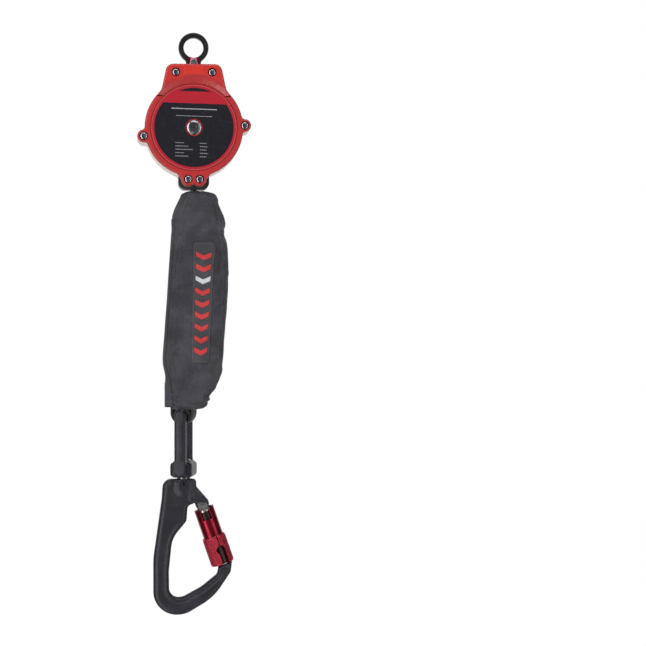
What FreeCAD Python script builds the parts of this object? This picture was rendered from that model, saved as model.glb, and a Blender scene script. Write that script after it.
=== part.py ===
"""Self retracting lifeline: a webbing block with a swivel eye above, a pouched absorber and a hook below.

Millimetres. +Z up, +X right, the front of the block faces -Y. The origin is the centre of the eye's hole.
"""

import FreeCAD, Part
import math
import os

V = FreeCAD.Vector

# ---------------------------------------------------------------- driving dimensions
# clearances
RUN = 0.05          # radial clearance of a shaft in its bore
SLIP = 0.2          # clearance between neighbours of one body
FREE = 0.4          # clearance between bodies that pass each other
TOUCH = 0.3         # gap of a piece that rests on another body

# anchor eye
EYE_HOLE_R = 10.4
EYE_RIM = 5.35
EYE_T = 8.0
EYE_SHANK_R = 7.8
EYE_EDGE_R = 1.5
EYE_DROP = 15.75    # eye centre to rivet
RIVET_R = 2.6
RIVET_HEAD_R = 3.85
RIVET_HEAD_T = 1.0
RIVET_SEAT = 0.4    # depth of the flat under each rivet head

# swivel clevis
CLEVIS_R = 7.1
CLEVIS_TOP = -11.0
CLEVIS_BARREL_END = -28.4
STEM_R = 5.0
STEM_END = -46.0
YOKE_TOP = -24.2
YOKE_H = 15.8
YOKE_HALF_X = 23.0
BUSH_WALL = 1.5
BUSH_LIP_R = 8.6
BUSH_LIP_T = 1.2
NUT_AF = 15.0
NUT_H = 4.0

# housing
HUB_Z = -85.6
DISC_R = 51.1
HALF_D = 23.5       # the block's half depth
PARTING_Y = -17.0   # joint plane between the two covers
WALL = 2.6
RIM_STEP = 2.6      # cap stands this far in front of the rim
LABEL_T = 0.5
RING_OUT_R = 44.3
GROOVE_R = 45.0
GROOVE_W = 0.7
GROOVE_DEEP = 0.8
ARCH_R = 55.4
CAP_TOP = -20.05
CAP_HALF = 27.9
CAP_SHOULDER_R = 8.0
BULGE_HALF = 11.8
BULGE_PROUD = 1.4
WELL_R = 8.6
EDGE_R = 2.2
CLOSE_R = 3.4       # hollow corners of the block's outline are rounded to this
LUG_R = 6.6
LUG_OUT = 1.7       # a side lug's screw lies this far outside the disc
LUG_LEFT_AT = -99.8  # degrees round the hub from the top, clockwise seen from the front
LUG_RIGHT_AT = 87.0
LUG_TWIN_X = 6.0
LUG_TWIN_OUT = 2.4  # the lower screws lie this far under the disc
TWIN_LOBE_R = 7.2
CAP_SCREW = (18.8, -28.35)

# screws
SCREW_R = 2.0
SCREW_HEAD_R = 3.6
SCREW_HEAD_T = 2.0
SCREW_WELL_R = 4.4
LUG_SCREW_L = 40.0
CAP_SCREW_L = 26.0
REAR_SCREW_L = 20.0
BOSS_R = 4.2
SOCKET_AF = 2.5

# shaft, drum and webbing
SHAFT_R = 5.0
HUB_BOLT_R = 7.85
HUB_BOLT_T = 2.6
HUB_RING_R = 8.75
WEB_W = 18.0        # lifeline webbing width
WEB_T = 1.8
DRUM_CORE_R = 12.0
DRUM_FLANGE_R = 32.5
FLANGE_T = 1.5
ROLL_R = 29.0
BUSH_T = 1.6
PLATE_T = 2.6
PLATE_FRONT_Y = -17.6
PLATE_REAR_Y = 17.4
PLATE_HALF_TOP = 24.0
PLATE_TOP = -24.0
PLATE_ROUND_R = 17.0

# brake
TEETH = 12
TOOTH_PHASE = 3.0   # turn of the first tooth from the vertical
TOOTH_TIP_R = 30.0
TOOTH_ROOT_R = 34.0
RATCHET_RIM = 4.0    # ring outside the teeth's roots
PAWL_PIVOT_R = 21.0
PAWL_PIN_R = 1.8
PAWL_HALF_W = 3.0
PAWL_REST = 72.0    # angle of the pawl's arm from the radius, at rest
PAWL_L = 12.8
PAWL_TIP_R = 1.3

# power spring
SPRING_CUP_R = 29.0
SPRING_CUP_WALL = 1.2
SPRING_TURNS = 9
SPRING_STRIP_T = 0.6

# webbing guide
GUIDE_HALF_X = 16.0
GUIDE_HALF_Y = 13.0
GUIDE_OVER = 8.1     # guide's top over the twin lugs
GUIDE_END = -149.0
GUIDE_BEND = 8.0     # slot's narrowest place over the guide's end
GUIDE_SLOT_X = 2.6
GUIDE_FLARE = 0.7    # slope of the slot's flared sides
GUIDE_CORNER_R = 7.0

# pouch: height, centre, half width, half depth of each section
POUCH_SECTIONS = (
    (-150.9, 0.5, 5.0, 11.8),
    (-154.0, 3.0, 14.0, 12.6),
    (-163.0, 5.0, 21.5, 14.0),
    (-178.0, 4.8, 27.5, 16.0),
    (-215.0, 6.2, 30.2, 17.5),
    (-265.0, 4.1, 31.4, 18.0),
    (-325.0, 0.3, 31.4, 18.0),
    (-350.0, -1.8, 27.4, 17.5),
    (-368.0, -6.1, 20.9, 17.0),
    (-378.6, -8.4, 17.6, 16.8),
)
POUCH_WALL = 1.2
POUCH_CORNER = 0.5  # corner radius as a share of the half depth
# closure flap: thickness and the outline of its outer edge
FLAP_T = 2.4
FLAP_EDGE = ((-31.4, -314.0, 0), (-32.3, -331.9, 20.0), (-30.4, -346.0, 20.0), (-30.2, -376.0, 0))
FLAP_Y = -3.0
SWING_Z = GUIDE_END - 1.4
TAIL_TOP = GUIDE_END + 4.0
PACK_PLIES = 8
PLY_T = 2.6
PLY_GAP = 1.6
PACK_W = 27.8
PACK_TOP = -182.0
PACK_END = -346.0
PACK_LEAN = 3.7

# end loop, bail and stud
YAW = 11.5          # the bail's turn about the vertical
HOOK_X = -10.3
LOOP_R = 12.2
LOOP_T = 2.8
LOOP_W = 22.0
LOOP_TOP = -350.2
BAR_R = 5.5
BAR_Z = -385.7
SLOT_HALF = 14.5
LEG_T = 9.0
LEG_HALF_W = 6.1
LEG_END = -447.2
LEG_EDGE_R = 2.4
BLOCK_TOP = -432.7
BLOCK_END = -449.9
BLOCK_HALF_X = 11.8
STUD_R = 5.0
STUD_HEAD_R = 8.4
STUD_HEAD_T = 2.5
STUD_END = -466.0
WASHER_R = 7.0
ROLL_PIN_R = 2.15
ROLL_PIN_BORE = 1.2
ROLL_PIN_Z = -456.3

# hook
HOOK_TOP = -451.7
HOOK_T = 12.6
HOOK_EDGE_R = 3.5
NOSE_BARE = 11.5    # no rounding within this distance of the nose's middle
BOSS_HALF_T = 8.2
GATE_TILT = 19.1    # gate axis from the vertical
GATE_TOP = (10.6, -482.3)
GATE_PIVOT_UP = 5.0
GATE_R = 8.1
GATE_EAR_R = 5.0
GATE_LUG_R = 7.3
GATE_END = 62.6     # along the gate axis from its top
TONGUE_HALF = 2.5
TONGUE_T = 2.2
TONGUE_L = 4.4
LUG_HALF_T = 3.0
PIN_R = 1.9
PLUNGER_R = 2.4
UPPER_R = 10.5
UPPER_L = 31.0
LOWER_R = 12.5
LOWER_END = 61.8
SLEEVE_WALL_R = 8.3
SLIDER_TOP = 36.0
SLIDER_L = 5.0
NOTCH_W = 9.4
NOTCH_L = 12.6
WINDOW_W = 9.6
WINDOW_TOP = 42.0
WINDOW_SHIFT = 14.0  # degrees round the sleeve
TUBE_SPRING_R = 10.2
TUBE_SPRING_WALL = 1.2
TUBE_SPRING_SLOTS = 3
KNURLS = 40
KNURL_R = 0.35


# ---------------------------------------------------------------- helpers
def save(name, *solids):
    """Write one node."""
    shape = solids[0] if len(solids) == 1 else Part.makeCompound(list(solids))
    shape.exportStep(f"parts/{name}.step")
    count = len(shape.Solids)
    box = shape.BoundBox
    print(f"{name:22s} solids {count:2d} volume {shape.Volume / 1000:8.2f} cm3 "
          f"x {box.XMin:7.1f} {box.XMax:7.1f} y {box.YMin:6.1f} {box.YMax:6.1f} "
          f"z {box.ZMin:7.1f} {box.ZMax:7.1f} valid {shape.isValid()}")


def cyl_y(r, y0, y1, x=0.0, z=0.0):
    """Cylinder along Y."""
    return Part.makeCylinder(r, y1 - y0, V(x, y0, z), V(0, 1, 0))


def cyl_z(r, z0, z1, x=0.0, y=0.0):
    """Cylinder along Z."""
    return Part.makeCylinder(r, z1 - z0, V(x, y, z0), V(0, 0, 1))


def ring_y(r_out, r_in, y0, y1, x=0.0, z=0.0):
    """Tube along Y."""
    return cyl_y(r_out, y0, y1, x, z).cut(cyl_y(r_in, y0 - 1, y1 + 1, x, z))


def box(x0, x1, y0, y1, z0, z1):
    """Box between two corners."""
    return Part.makeBox(x1 - x0, y1 - y0, z1 - z0, V(x0, y0, z0))


def rounded(points, y=0.0):
    """Closed wire in the XZ plane: each point is x, z and the radius of its corner."""
    n = len(points)
    edges = []
    first = last = None
    for i in range(n):
        x, z, r = points[i]
        p = V(x, y, z)
        a = V(points[i - 1][0], y, points[i - 1][1])
        b = V(points[(i + 1) % n][0], y, points[(i + 1) % n][1])
        to_a = (a - p).normalize()
        to_b = (b - p).normalize()
        if r > 0:
            half = to_a.getAngle(to_b) / 2
            back = r / math.tan(half)
            start = p + to_a * back
            end = p + to_b * back
            middle = p + (to_a + to_b).normalize() * (r / math.sin(half) - r)
            arc = Part.Arc(start, middle, end).toShape()
        else:
            start = end = p
            arc = None
        if last is None:
            first = start
        elif last.distanceToPoint(start) > 1e-6:
            edges.append(Part.LineSegment(last, start).toShape())
        if arc:
            edges.append(arc)
        last = end
    if last.distanceToPoint(first) > 1e-6:
        edges.append(Part.LineSegment(last, first).toShape())
    return Part.Wire(edges)


def plate(wire, y0, y1):
    """Solid between two Y planes from a wire in the XZ plane."""
    face = Part.Face(wire)
    face.translate(V(0, y0 - wire.BoundBox.YMin, 0))
    return face.extrude(V(0, y1 - y0, 0))


def disc(r, x=0.0, z=0.0):
    """Circle in the XZ plane, as a wire."""
    return Part.Wire(Part.makeCircle(r, V(x, 0, z), V(0, 1, 0)))


def joined(wires, close=0.0):
    """Outer wire of overlapping outlines, with its hollow corners rounded to a radius."""
    slabs = [plate(w, 0, 1) for w in wires]
    slab = slabs[0].fuse(slabs[1:]).removeSplitter()
    face = max((f for f in slab.Faces if f.BoundBox.YMax < 1e-6), key=lambda f: f.Area)
    wire = face.OuterWire
    return wire.makeOffset2D(close).makeOffset2D(-close) if close else wire


def mirror_x(points):
    """A left-right symmetric outline from its right half, top to bottom."""
    return list(points) + [(-x, z, r) for x, z, r in reversed(points)]


def turned(shape, angle, centre, axis):
    """The shape turned by an angle in degrees."""
    copy = shape.copy()
    copy.rotate(centre, axis, angle)
    return copy


def hexagon(across, y0, y1, x, z):
    """Hexagonal prism along Y."""
    r = across / math.sqrt(3)
    points = [(x + r * math.cos(math.radians(60 * k)), z + r * math.sin(math.radians(60 * k)), 0)
              for k in range(6)]
    return plate(rounded(points), y0, y1)


def edges_where(shape, test):
    """Edges that pass a test."""
    return [e for e in shape.Edges if test(e)]


def at_y(y):
    """Test for edges that lie in one Y plane."""
    return lambda e: abs(e.BoundBox.YMin - y) < 1e-4 and abs(e.BoundBox.YMax - y) < 1e-4


# ---------------------------------------------------------------- housing
LUG_TWIN_Z = HUB_Z - DISC_R - LUG_TWIN_OUT
GUIDE_TOP = LUG_TWIN_Z + GUIDE_OVER
CAP_SCREWS = ((-CAP_SCREW[0], CAP_SCREW[1]), CAP_SCREW)
FRONT_Y = -HALF_D
CAP_Y = FRONT_Y - RIM_STEP
CAP_SEAT_Y = FRONT_Y + WALL


def round_hub(r, angle):
    """X and Z of a point at a radius and an angle from the top, round the hub."""
    turn = math.radians(angle)
    return r * math.sin(turn), HUB_Z + r * math.cos(turn)


LUGS = (round_hub(DISC_R + LUG_OUT, LUG_LEFT_AT), round_hub(DISC_R + LUG_OUT, LUG_RIGHT_AT),
        (-LUG_TWIN_X, LUG_TWIN_Z), (LUG_TWIN_X, LUG_TWIN_Z))


def lug_web(centre, spread):
    """Tapered web between a screw lug and the disc, as a polygon in the XZ plane."""
    x, z = centre
    out = V(x, 0, z - HUB_Z)
    far = out.Length
    out.normalize()
    side = V(-out.z, 0, out.x)
    hub = V(0, 0, HUB_Z)
    near = math.sqrt(DISC_R ** 2 - spread ** 2)
    corners = [hub + out * (near - 2) + side * spread, hub + out * far + side * (LUG_R * 0.9),
               hub + out * far - side * (LUG_R * 0.9), hub + out * (near - 2) - side * spread]
    return [(p.x, p.z, 0) for p in corners]


def cap_points():
    """The cap's outline, from the flat top down its shoulders into the disc."""
    shoulder = round_hub(DISC_R + 0.4, 40.7)
    foot = round_hub(DISC_R - 0.3, 49.3)
    return mirror_x([(CAP_HALF, CAP_TOP + 0.3, CAP_SHOULDER_R), (*shoulder, 12.0), (*foot, 0.0)])


def swivel_pocket(y0, y1):
    """Hollow behind the cap, from inside its walls down into the drum's room."""
    corner = round_hub(DISC_R - WALL - 2.0, 40.0)
    foot = round_hub(DISC_R - WALL - 12.0, 50.0)
    return plate(rounded(mirror_x([(CAP_HALF - WALL, CAP_TOP - WALL, 5.0), (*corner, 4.0), (*foot, 0.0)])),
                 y0, y1)


def block_outline():
    """Outer wire of the block, in the plane Y = 0."""
    pieces = [disc(DISC_R, 0, HUB_Z), rounded(cap_points())]
    for centre in LUGS[:2]:
        pieces.append(rounded(lug_web(centre, 11.0)))
    pieces.append(rounded(mirror_x([(LUG_TWIN_X * 2, LUG_TWIN_Z - 1.5, 1.0),
                                    (LUG_TWIN_X * 3.25, LUG_TWIN_Z + 8.1, 0.0)])))
    for i, (x, z) in enumerate(LUGS):
        pieces.append(disc(LUG_R if i < 2 else TWIN_LOBE_R, x, z))
    return joined(pieces, CLOSE_R)


def wall_cone(r_in, r_out, y_in, y_out):
    """Cone about the hub's axis, from r_in at y_in to r_out at y_out, with y_out in front."""
    return Part.makeCone(r_in, r_out, y_in - y_out, V(0, y_in, HUB_Z), V(0, -1, 0))


def drill_screws(shape, places, head_y):
    """The shape with a clearance hole and a dark well for each screw."""
    for x, z in places:
        shape = shape.cut(cyl_y(SCREW_R + SLIP, head_y - 5, HALF_D - 2 * WALL, x, z))
        shape = shape.cut(cyl_y(SCREW_WELL_R, head_y - 5, head_y + SCREW_HEAD_T + SLIP, x, z))
    return shape


def cap_zone(grow=0.0):
    """The cap's footprint outside the arch, as a wire, slightly larger where asked."""
    wire = rounded(cap_points())
    return wire.makeOffset2D(grow) if grow else wire


def front_cover():
    """Red lid: a flat rim round the label, lugs, and a seat for the cap."""
    lid = plate(block_outline(), FRONT_Y, PARTING_Y)
    lid = lid.makeFillet(EDGE_R, edges_where(lid, at_y(FRONT_Y)))
    inside = cyl_y(DISC_R - WALL, FRONT_Y + WALL, PARTING_Y + 1, z=HUB_Z)
    lid = lid.cut(inside.fuse(swivel_pocket(CAP_SEAT_Y + WALL, PARTING_Y + 1)))
    # the seat of the cap
    seat = plate(cap_zone(1.0), CAP_Y - 3, CAP_SEAT_Y)
    lid = lid.cut(seat.cut(cyl_y(GROOVE_R + 1.0, CAP_Y - 3, PARTING_Y, z=HUB_Z)))
    # screw bosses behind the cap, label recess, groove and hub ring
    for x, z in CAP_SCREWS:
        lid = lid.fuse(cyl_y(BOSS_R, CAP_SEAT_Y, PLATE_FRONT_Y - SLIP, x, z))
    lid = lid.cut(cyl_y(RING_OUT_R, FRONT_Y - 1, FRONT_Y + LABEL_T, z=HUB_Z))
    lid = lid.cut(ring_y(GROOVE_R + GROOVE_W / 2, GROOVE_R - GROOVE_W / 2, FRONT_Y - 1,
                         FRONT_Y + GROOVE_DEEP, z=HUB_Z))
    lid = lid.fuse(cyl_y(HUB_RING_R, FRONT_Y - 0.6, FRONT_Y + WALL, z=HUB_Z))
    lid = lid.cut(cyl_y(HUB_BOLT_R + SLIP, FRONT_Y - 2, FRONT_Y + 1.0, z=HUB_Z))
    lid = lid.cut(cyl_y(SCREW_R + 1.0, FRONT_Y - 2, PARTING_Y, z=HUB_Z))
    lid = lid.cut(guide_room())
    lid = drill_screws(lid, LUGS, FRONT_Y)
    for x, z in CAP_SCREWS:
        lid = lid.cut(cyl_y(SCREW_R + SLIP, CAP_Y - 1, PARTING_Y + 1, x, z))
    return lid.removeSplitter()


def top_cap():
    """Raised cap over the swivel: rounded shoulders, a central bulge and a ramp down to the rim."""
    cap = plate(cap_zone(), CAP_Y, CAP_SEAT_Y)
    cap = cap.makeFillet(EDGE_R, edges_where(cap, at_y(CAP_Y)))
    bulge = Part.Face(Part.makePolygon([V(-BULGE_HALF, CAP_Y + 1, 0), V(-BULGE_HALF + 0.6, CAP_Y - 0.2, 0),
                                        V(-BULGE_HALF + 2.6, CAP_Y - BULGE_PROUD, 0),
                                        V(BULGE_HALF - 2.6, CAP_Y - BULGE_PROUD, 0),
                                        V(BULGE_HALF - 0.6, CAP_Y - 0.2, 0), V(BULGE_HALF, CAP_Y + 1, 0),
                                        V(-BULGE_HALF, CAP_Y + 1, 0)]))
    bulge.translate(V(0, 0, CAP_TOP + 0.3 - EDGE_R))
    cap = cap.fuse(bulge.extrude(V(0, 0, -30.0)))
    cap = cap.cut(wall_cone(GROOVE_R + 1.0, ARCH_R, FRONT_Y + SLIP, CAP_Y - BULGE_PROUD - 1))
    cap = cap.cut(cyl_y(GROOVE_R + 1.0 + SLIP, CAP_Y - 3, CAP_SEAT_Y + 1, z=HUB_Z))
    cap = drill_screws(cap, CAP_SCREWS, CAP_Y + 0.4)
    return max(cap.Solids, key=lambda s: s.Volume)


def rear_cover():
    """Deep pale shell behind the lid, with the swivel's well above and the guide's mouth below."""
    shell = plate(block_outline(), PARTING_Y, HALF_D)
    shell = shell.makeFillet(EDGE_R, edges_where(shell, at_y(HALF_D)))
    inside = cyl_y(DISC_R - WALL, PARTING_Y - 1, HALF_D - WALL, z=HUB_Z)
    shell = shell.cut(inside.fuse(swivel_pocket(PARTING_Y - 1, HALF_D - WALL))).cut(guide_room())
    shell = shell.cut(cyl_z(WELL_R, YOKE_TOP, CAP_TOP + 5))
    for x, z in LUGS:
        shell = shell.cut(cyl_y(SCREW_R, PARTING_Y - 1, HALF_D - 2 * WALL, x, z))
    for x, z in CAP_SCREWS:
        shell = shell.fuse(cyl_y(BOSS_R, PLATE_REAR_Y + PLATE_T + SLIP, HALF_D - WALL, x, z))
        shell = shell.cut(cyl_y(SCREW_R + SLIP, PLATE_REAR_Y, HALF_D + 1, x, z))
        shell = shell.cut(cyl_y(SCREW_WELL_R, HALF_D - SCREW_HEAD_T - SLIP, HALF_D + 1, x, z))
    shell = shell.cut(cyl_y(SCREW_R + 1.0, HALF_D - WALL - 1, HALF_D + 1, z=HUB_Z))
    shell = shell.cut(cyl_y(HUB_BOLT_R + SLIP, HALF_D - 1.0, HALF_D + 1, z=HUB_Z))
    return shell.removeSplitter()


def guide_room():
    """Room for the webbing guide in the covers."""
    return box(-GUIDE_HALF_X - SLIP, GUIDE_HALF_X + SLIP, -GUIDE_HALF_Y - SLIP, GUIDE_HALF_Y + SLIP,
               GUIDE_END - 5, GUIDE_TOP + SLIP)


def label_plate():
    """Printed disc in the lid's recess, with a window for the hub ring."""
    disc = cyl_y(RING_OUT_R - SLIP, FRONT_Y + 0.05, FRONT_Y + LABEL_T, z=HUB_Z)
    return disc.cut(cyl_y(HUB_RING_R + SLIP, FRONT_Y - 1, FRONT_Y + 1, z=HUB_Z))


# ---------------------------------------------------------------- screws
def pan_screw(x, z, face_y, length, facing=1):
    """Socket screw along Y; facing 1 has its head at the front, -1 at the rear."""
    head = cyl_y(SCREW_HEAD_R, face_y, face_y + SCREW_HEAD_T, x, z)
    head = head.makeFillet(0.7, edges_where(head, at_y(face_y)))
    head = head.cut(hexagon(SOCKET_AF, face_y - 1, face_y + 1.2, x, z))
    screw = head.fuse(cyl_y(SCREW_R - RUN, face_y + SCREW_HEAD_T, face_y + length, x, z))
    if facing < 0:
        screw = screw.mirror(V(0, 0, 0), V(0, 1, 0))
    return screw.removeSplitter()


def hub_bolt(face_y, facing=1):
    """Domed bolt that closes one end of the drum's shaft."""
    dome_r = (HUB_BOLT_R ** 2 + HUB_BOLT_T ** 2) / (2 * HUB_BOLT_T)
    dome = Part.makeSphere(dome_r, V(0, face_y + dome_r, HUB_Z))
    head = dome.common(cyl_y(HUB_BOLT_R, face_y - 1, face_y + HUB_BOLT_T, z=HUB_Z))
    head = head.cut(hexagon(4.0, face_y - 1, face_y + 1.6, 0, HUB_Z))
    bolt = head.fuse(cyl_y(SCREW_R + 0.5, face_y + HUB_BOLT_T - 0.2, face_y + 13, z=HUB_Z))
    if facing < 0:
        bolt = bolt.mirror(V(0, 0, 0), V(0, 1, 0))
    return bolt.removeSplitter()


# ---------------------------------------------------------------- swivel
def anchor_eye():
    """Flat forged ring on a shank that ends round the rivet."""
    rim_r = EYE_HOLE_R + EYE_RIM
    shank = rounded(mirror_x([(13.0, -6.0, 0.0), (8.3, -12.8, 3.0), (EYE_SHANK_R, -EYE_DROP, 0.0)]))
    wire = joined([disc(rim_r), shank, disc(EYE_SHANK_R, 0, -EYE_DROP)], 4.0)
    half = EYE_T / 2
    eye = plate(wire, -half, half)
    eye = eye.makeFillet(EYE_EDGE_R, edges_where(eye, lambda e: at_y(-half)(e) or at_y(half)(e)))
    hole = cyl_y(EYE_HOLE_R, -half - 1, half + 1)
    for side in (-1, 1):
        flare = Part.makeCone(EYE_HOLE_R, EYE_HOLE_R + 1.5, 1.5, V(0, side * (half - 0.9), 0), V(0, side, 0))
        hole = hole.fuse(flare)
    return eye.cut(hole).cut(cyl_y(RIVET_R + RUN, -EYE_T, EYE_T, z=-EYE_DROP))


def swivel_clevis():
    """Round barrel forked over the eye's shank, on a stem that turns in the yoke."""
    barrel = cyl_z(CLEVIS_R, CLEVIS_BARREL_END, CLEVIS_TOP)
    barrel = barrel.makeFillet(0.8, edges_where(barrel, lambda e: abs(e.BoundBox.ZMin - CLEVIS_TOP) < 1e-4))
    stem = cyl_z(STEM_R, STEM_END, CLEVIS_BARREL_END)
    clevis = barrel.fuse(stem)
    clevis = clevis.cut(cyl_y(EYE_HOLE_R + 0.4, -20, 20))
    room = EYE_T / 2 + RUN * 2
    slot = box(-20, 20, -room, room, -EYE_DROP, 0)
    slot = slot.fuse(cyl_y(EYE_SHANK_R + FREE, -room, room, z=-EYE_DROP))
    clevis = clevis.cut(slot)
    for side in (-1, 1):
        y = side * (CLEVIS_R - RIVET_SEAT)
        clevis = clevis.cut(cyl_y(RIVET_HEAD_R + SLIP, min(y, 2 * y), max(y, 2 * y), z=-EYE_DROP))
    return clevis.cut(cyl_y(RIVET_R, -20, 20, z=-EYE_DROP)).removeSplitter()


def eye_rivet():
    """Headed pin through the clevis and the eye."""
    half = CLEVIS_R - RIVET_SEAT
    pin = cyl_y(RIVET_R - 0.005, -half, half, z=-EYE_DROP)
    for side in (-1, 1):
        y = side * half
        head = cyl_y(RIVET_HEAD_R, min(y, y + side * RIVET_HEAD_T), max(y, y + side * RIVET_HEAD_T),
                     z=-EYE_DROP)
        head = head.makeFillet(0.6, edges_where(head, at_y(y + side * RIVET_HEAD_T)))
        pin = pin.fuse(head)
    return pin.removeSplitter()


def swivel_nut():
    """Hexagon nut that holds the stem under the yoke."""
    z0 = YOKE_TOP - YOKE_H - TOUCH - NUT_H
    points = [V(NUT_AF / math.sqrt(3) * math.cos(math.radians(60 * k)),
                NUT_AF / math.sqrt(3) * math.sin(math.radians(60 * k)), z0) for k in range(7)]
    nut = Part.Face(Part.makePolygon(points)).extrude(V(0, 0, NUT_H))
    return nut.cut(cyl_z(STEM_R + 0.005, z0 - 1, z0 + NUT_H + 1))


def swivel_bush():
    """Flanged bush between the stem and the yoke."""
    z1 = CLEVIS_BARREL_END - SLIP
    bush = cyl_z(BUSH_LIP_R, z1 - BUSH_LIP_T, z1).fuse(
        cyl_z(STEM_R + BUSH_WALL, YOKE_TOP - YOKE_H, z1 - BUSH_LIP_T))
    return bush.cut(cyl_z(STEM_R + RUN, YOKE_TOP - YOKE_H - 1, z1 + 1)).removeSplitter()


def swivel_yoke():
    """Steel block across the frame plates that carries the stem."""
    z0 = YOKE_TOP - YOKE_H
    yoke = box(-YOKE_HALF_X, YOKE_HALF_X, PLATE_FRONT_Y + PLATE_T, PLATE_REAR_Y, z0, YOKE_TOP)
    yoke = yoke.makeFillet(3.0, edges_where(yoke, lambda e: e.BoundBox.YLength > 10))
    lip_end = CLEVIS_BARREL_END - SLIP - BUSH_LIP_T
    yoke = yoke.cut(cyl_z(BUSH_LIP_R + SLIP, lip_end, YOKE_TOP + 1))
    yoke = yoke.cut(cyl_z(STEM_R + BUSH_WALL + 0.01, z0 - 1, lip_end + 1))
    for x, z in CAP_SCREWS:
        yoke = yoke.cut(cyl_y(SCREW_R, PLATE_FRONT_Y, PLATE_REAR_Y + 1, x, z))
    return yoke


def frame_plate(y0):
    """Steel side plate that carries one end of the shaft."""
    wire = rounded(mirror_x([(PLATE_HALF_TOP, PLATE_TOP, 3.0), (PLATE_HALF_TOP, -42.0, 6.0),
                             (16.0, -62.0, 12.0), (16.0, HUB_Z - PLATE_ROUND_R, 12.0)]))
    side = plate(wire, y0, y0 + PLATE_T).cut(cyl_y(SHAFT_R + 0.01, y0 - 1, y0 + PLATE_T + 1, z=HUB_Z))
    for x, z in CAP_SCREWS:
        side = side.cut(cyl_y(SCREW_R + SLIP, y0 - 1, y0 + PLATE_T + 1, x, z))
    return side


# ---------------------------------------------------------------- drum, brake and power spring
FLANGE_IN = WEB_W / 2 + 0.35
FLANGE_OUT = FLANGE_IN + FLANGE_T


def drum_shaft():
    """Fixed shaft between the frame plates, tapped at both ends."""
    end = HALF_D - WALL - SLIP
    shaft = cyl_y(SHAFT_R, -end, end, z=HUB_Z)
    for y0, y1 in ((-end - 1, -end + 14), (end - 14, end + 1)):
        shaft = shaft.cut(cyl_y(SCREW_R + 0.52, y0, y1, z=HUB_Z))
    return shaft


def pawl_pivots():
    """Pivot places of the two pawls, and the turn of each about the hub."""
    return [(0.0, HUB_Z + PAWL_PIVOT_R, 0.0), (0.0, HUB_Z - PAWL_PIVOT_R, 180.0)]


def drum():
    """Webbing drum: a core between two flanges, bored for its bushes and the pawl pins."""
    reel = ring_y(DRUM_CORE_R, SHAFT_R + BUSH_T + 0.01, -FLANGE_OUT, FLANGE_OUT, z=HUB_Z)
    for y0 in (-FLANGE_OUT, FLANGE_IN):
        flange = cyl_y(DRUM_FLANGE_R, y0, y0 + FLANGE_T, z=HUB_Z)
        reel = reel.fuse(flange.cut(cyl_y(DRUM_CORE_R - 1, y0 - 1, y0 + FLANGE_T + 1, z=HUB_Z)))
    for x, z, _ in pawl_pivots():
        reel = reel.cut(cyl_y(PAWL_PIN_R + 0.005, -FLANGE_OUT - 1, -FLANGE_IN + 0.01, x, z))
    return reel.removeSplitter()


def drum_bushes():
    """Two plain bushes that the drum turns on."""
    out = []
    for y0 in (-FLANGE_OUT, FLANGE_OUT - 7.0):
        out.append(ring_y(SHAFT_R + BUSH_T, SHAFT_R + RUN, y0, y0 + 7.0, z=HUB_Z))
    return out


def webbing_roll():
    """The wound lifeline, as wide as the webbing."""
    return ring_y(ROLL_R, DRUM_CORE_R + 0.1, -WEB_W / 2, WEB_W / 2, z=HUB_Z)


def ratchet_ring():
    """Fixed ring with inward teeth, on the front frame plate."""
    y0 = PLATE_FRONT_Y + PLATE_T
    y1 = -FLANGE_OUT - FREE
    ring = ring_y(TOOTH_ROOT_R + RATCHET_RIM, TOOTH_ROOT_R, y0, y1, z=HUB_Z)
    pitch = 2 * math.pi / TEETH
    for k in range(TEETH):
        a = k * pitch + math.radians(TOOTH_PHASE)
        corners = [(TOOTH_ROOT_R + 0.5, -0.12), (TOOTH_TIP_R, -0.10), (TOOTH_TIP_R, -0.02),
                   (TOOTH_ROOT_R + 0.5, 0.20)]
        points = [(r * math.sin(a + b), HUB_Z + r * math.cos(a + b), 0) for r, b in corners]
        ring = ring.fuse(plate(rounded(points), y0, y1))
    return ring.removeSplitter()


PAWL_Y0 = PLATE_FRONT_Y + PLATE_T + FREE
PAWL_Y1 = PAWL_Y0 + 2.4


def pawl(x, z, turn):
    """Brake pawl: an arm from its pivot to a small round tip."""
    a = math.radians(PAWL_REST)
    tip = (PAWL_L * math.sin(a), PAWL_L * math.cos(a))
    tail = (-0.4 * PAWL_L * math.sin(a), -0.4 * PAWL_L * math.cos(a))
    arm = rounded([(tail[0] - 1.2, tail[1] + 2.0, 1.0), (tip[0] * 0.97 - 0.5, tip[1] + PAWL_TIP_R, 0.6),
                   (tip[0], tip[1] - PAWL_TIP_R, 0.6), (tail[0] + 1.6, tail[1] - 1.6, 1.0)])
    solid = plate(joined([arm, disc(PAWL_HALF_W), disc(PAWL_TIP_R, *tip)]), PAWL_Y0, PAWL_Y1)
    solid = solid.cut(cyl_y(PAWL_PIN_R + RUN, PAWL_Y0 - 1, PAWL_Y1 + 1))
    solid.rotate(V(0, 0, 0), V(0, 1, 0), turn)
    solid.translate(V(x, 0, z))
    return solid


def pawl_pins():
    """Pins that the pawls turn on, pressed into the drum's flange."""
    return [cyl_y(PAWL_PIN_R, PAWL_Y0 - SLIP, -FLANGE_IN, x, z) for x, z, _ in pawl_pivots()]


def pawl_springs():
    """Flat coil spring round each pawl pin."""
    return [ring_y(PAWL_PIN_R + 1.0, PAWL_PIN_R + 0.1, PAWL_Y1 + SLIP, -FLANGE_OUT - 0.05, x, z)
            for x, z, _ in pawl_pivots()]


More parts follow.
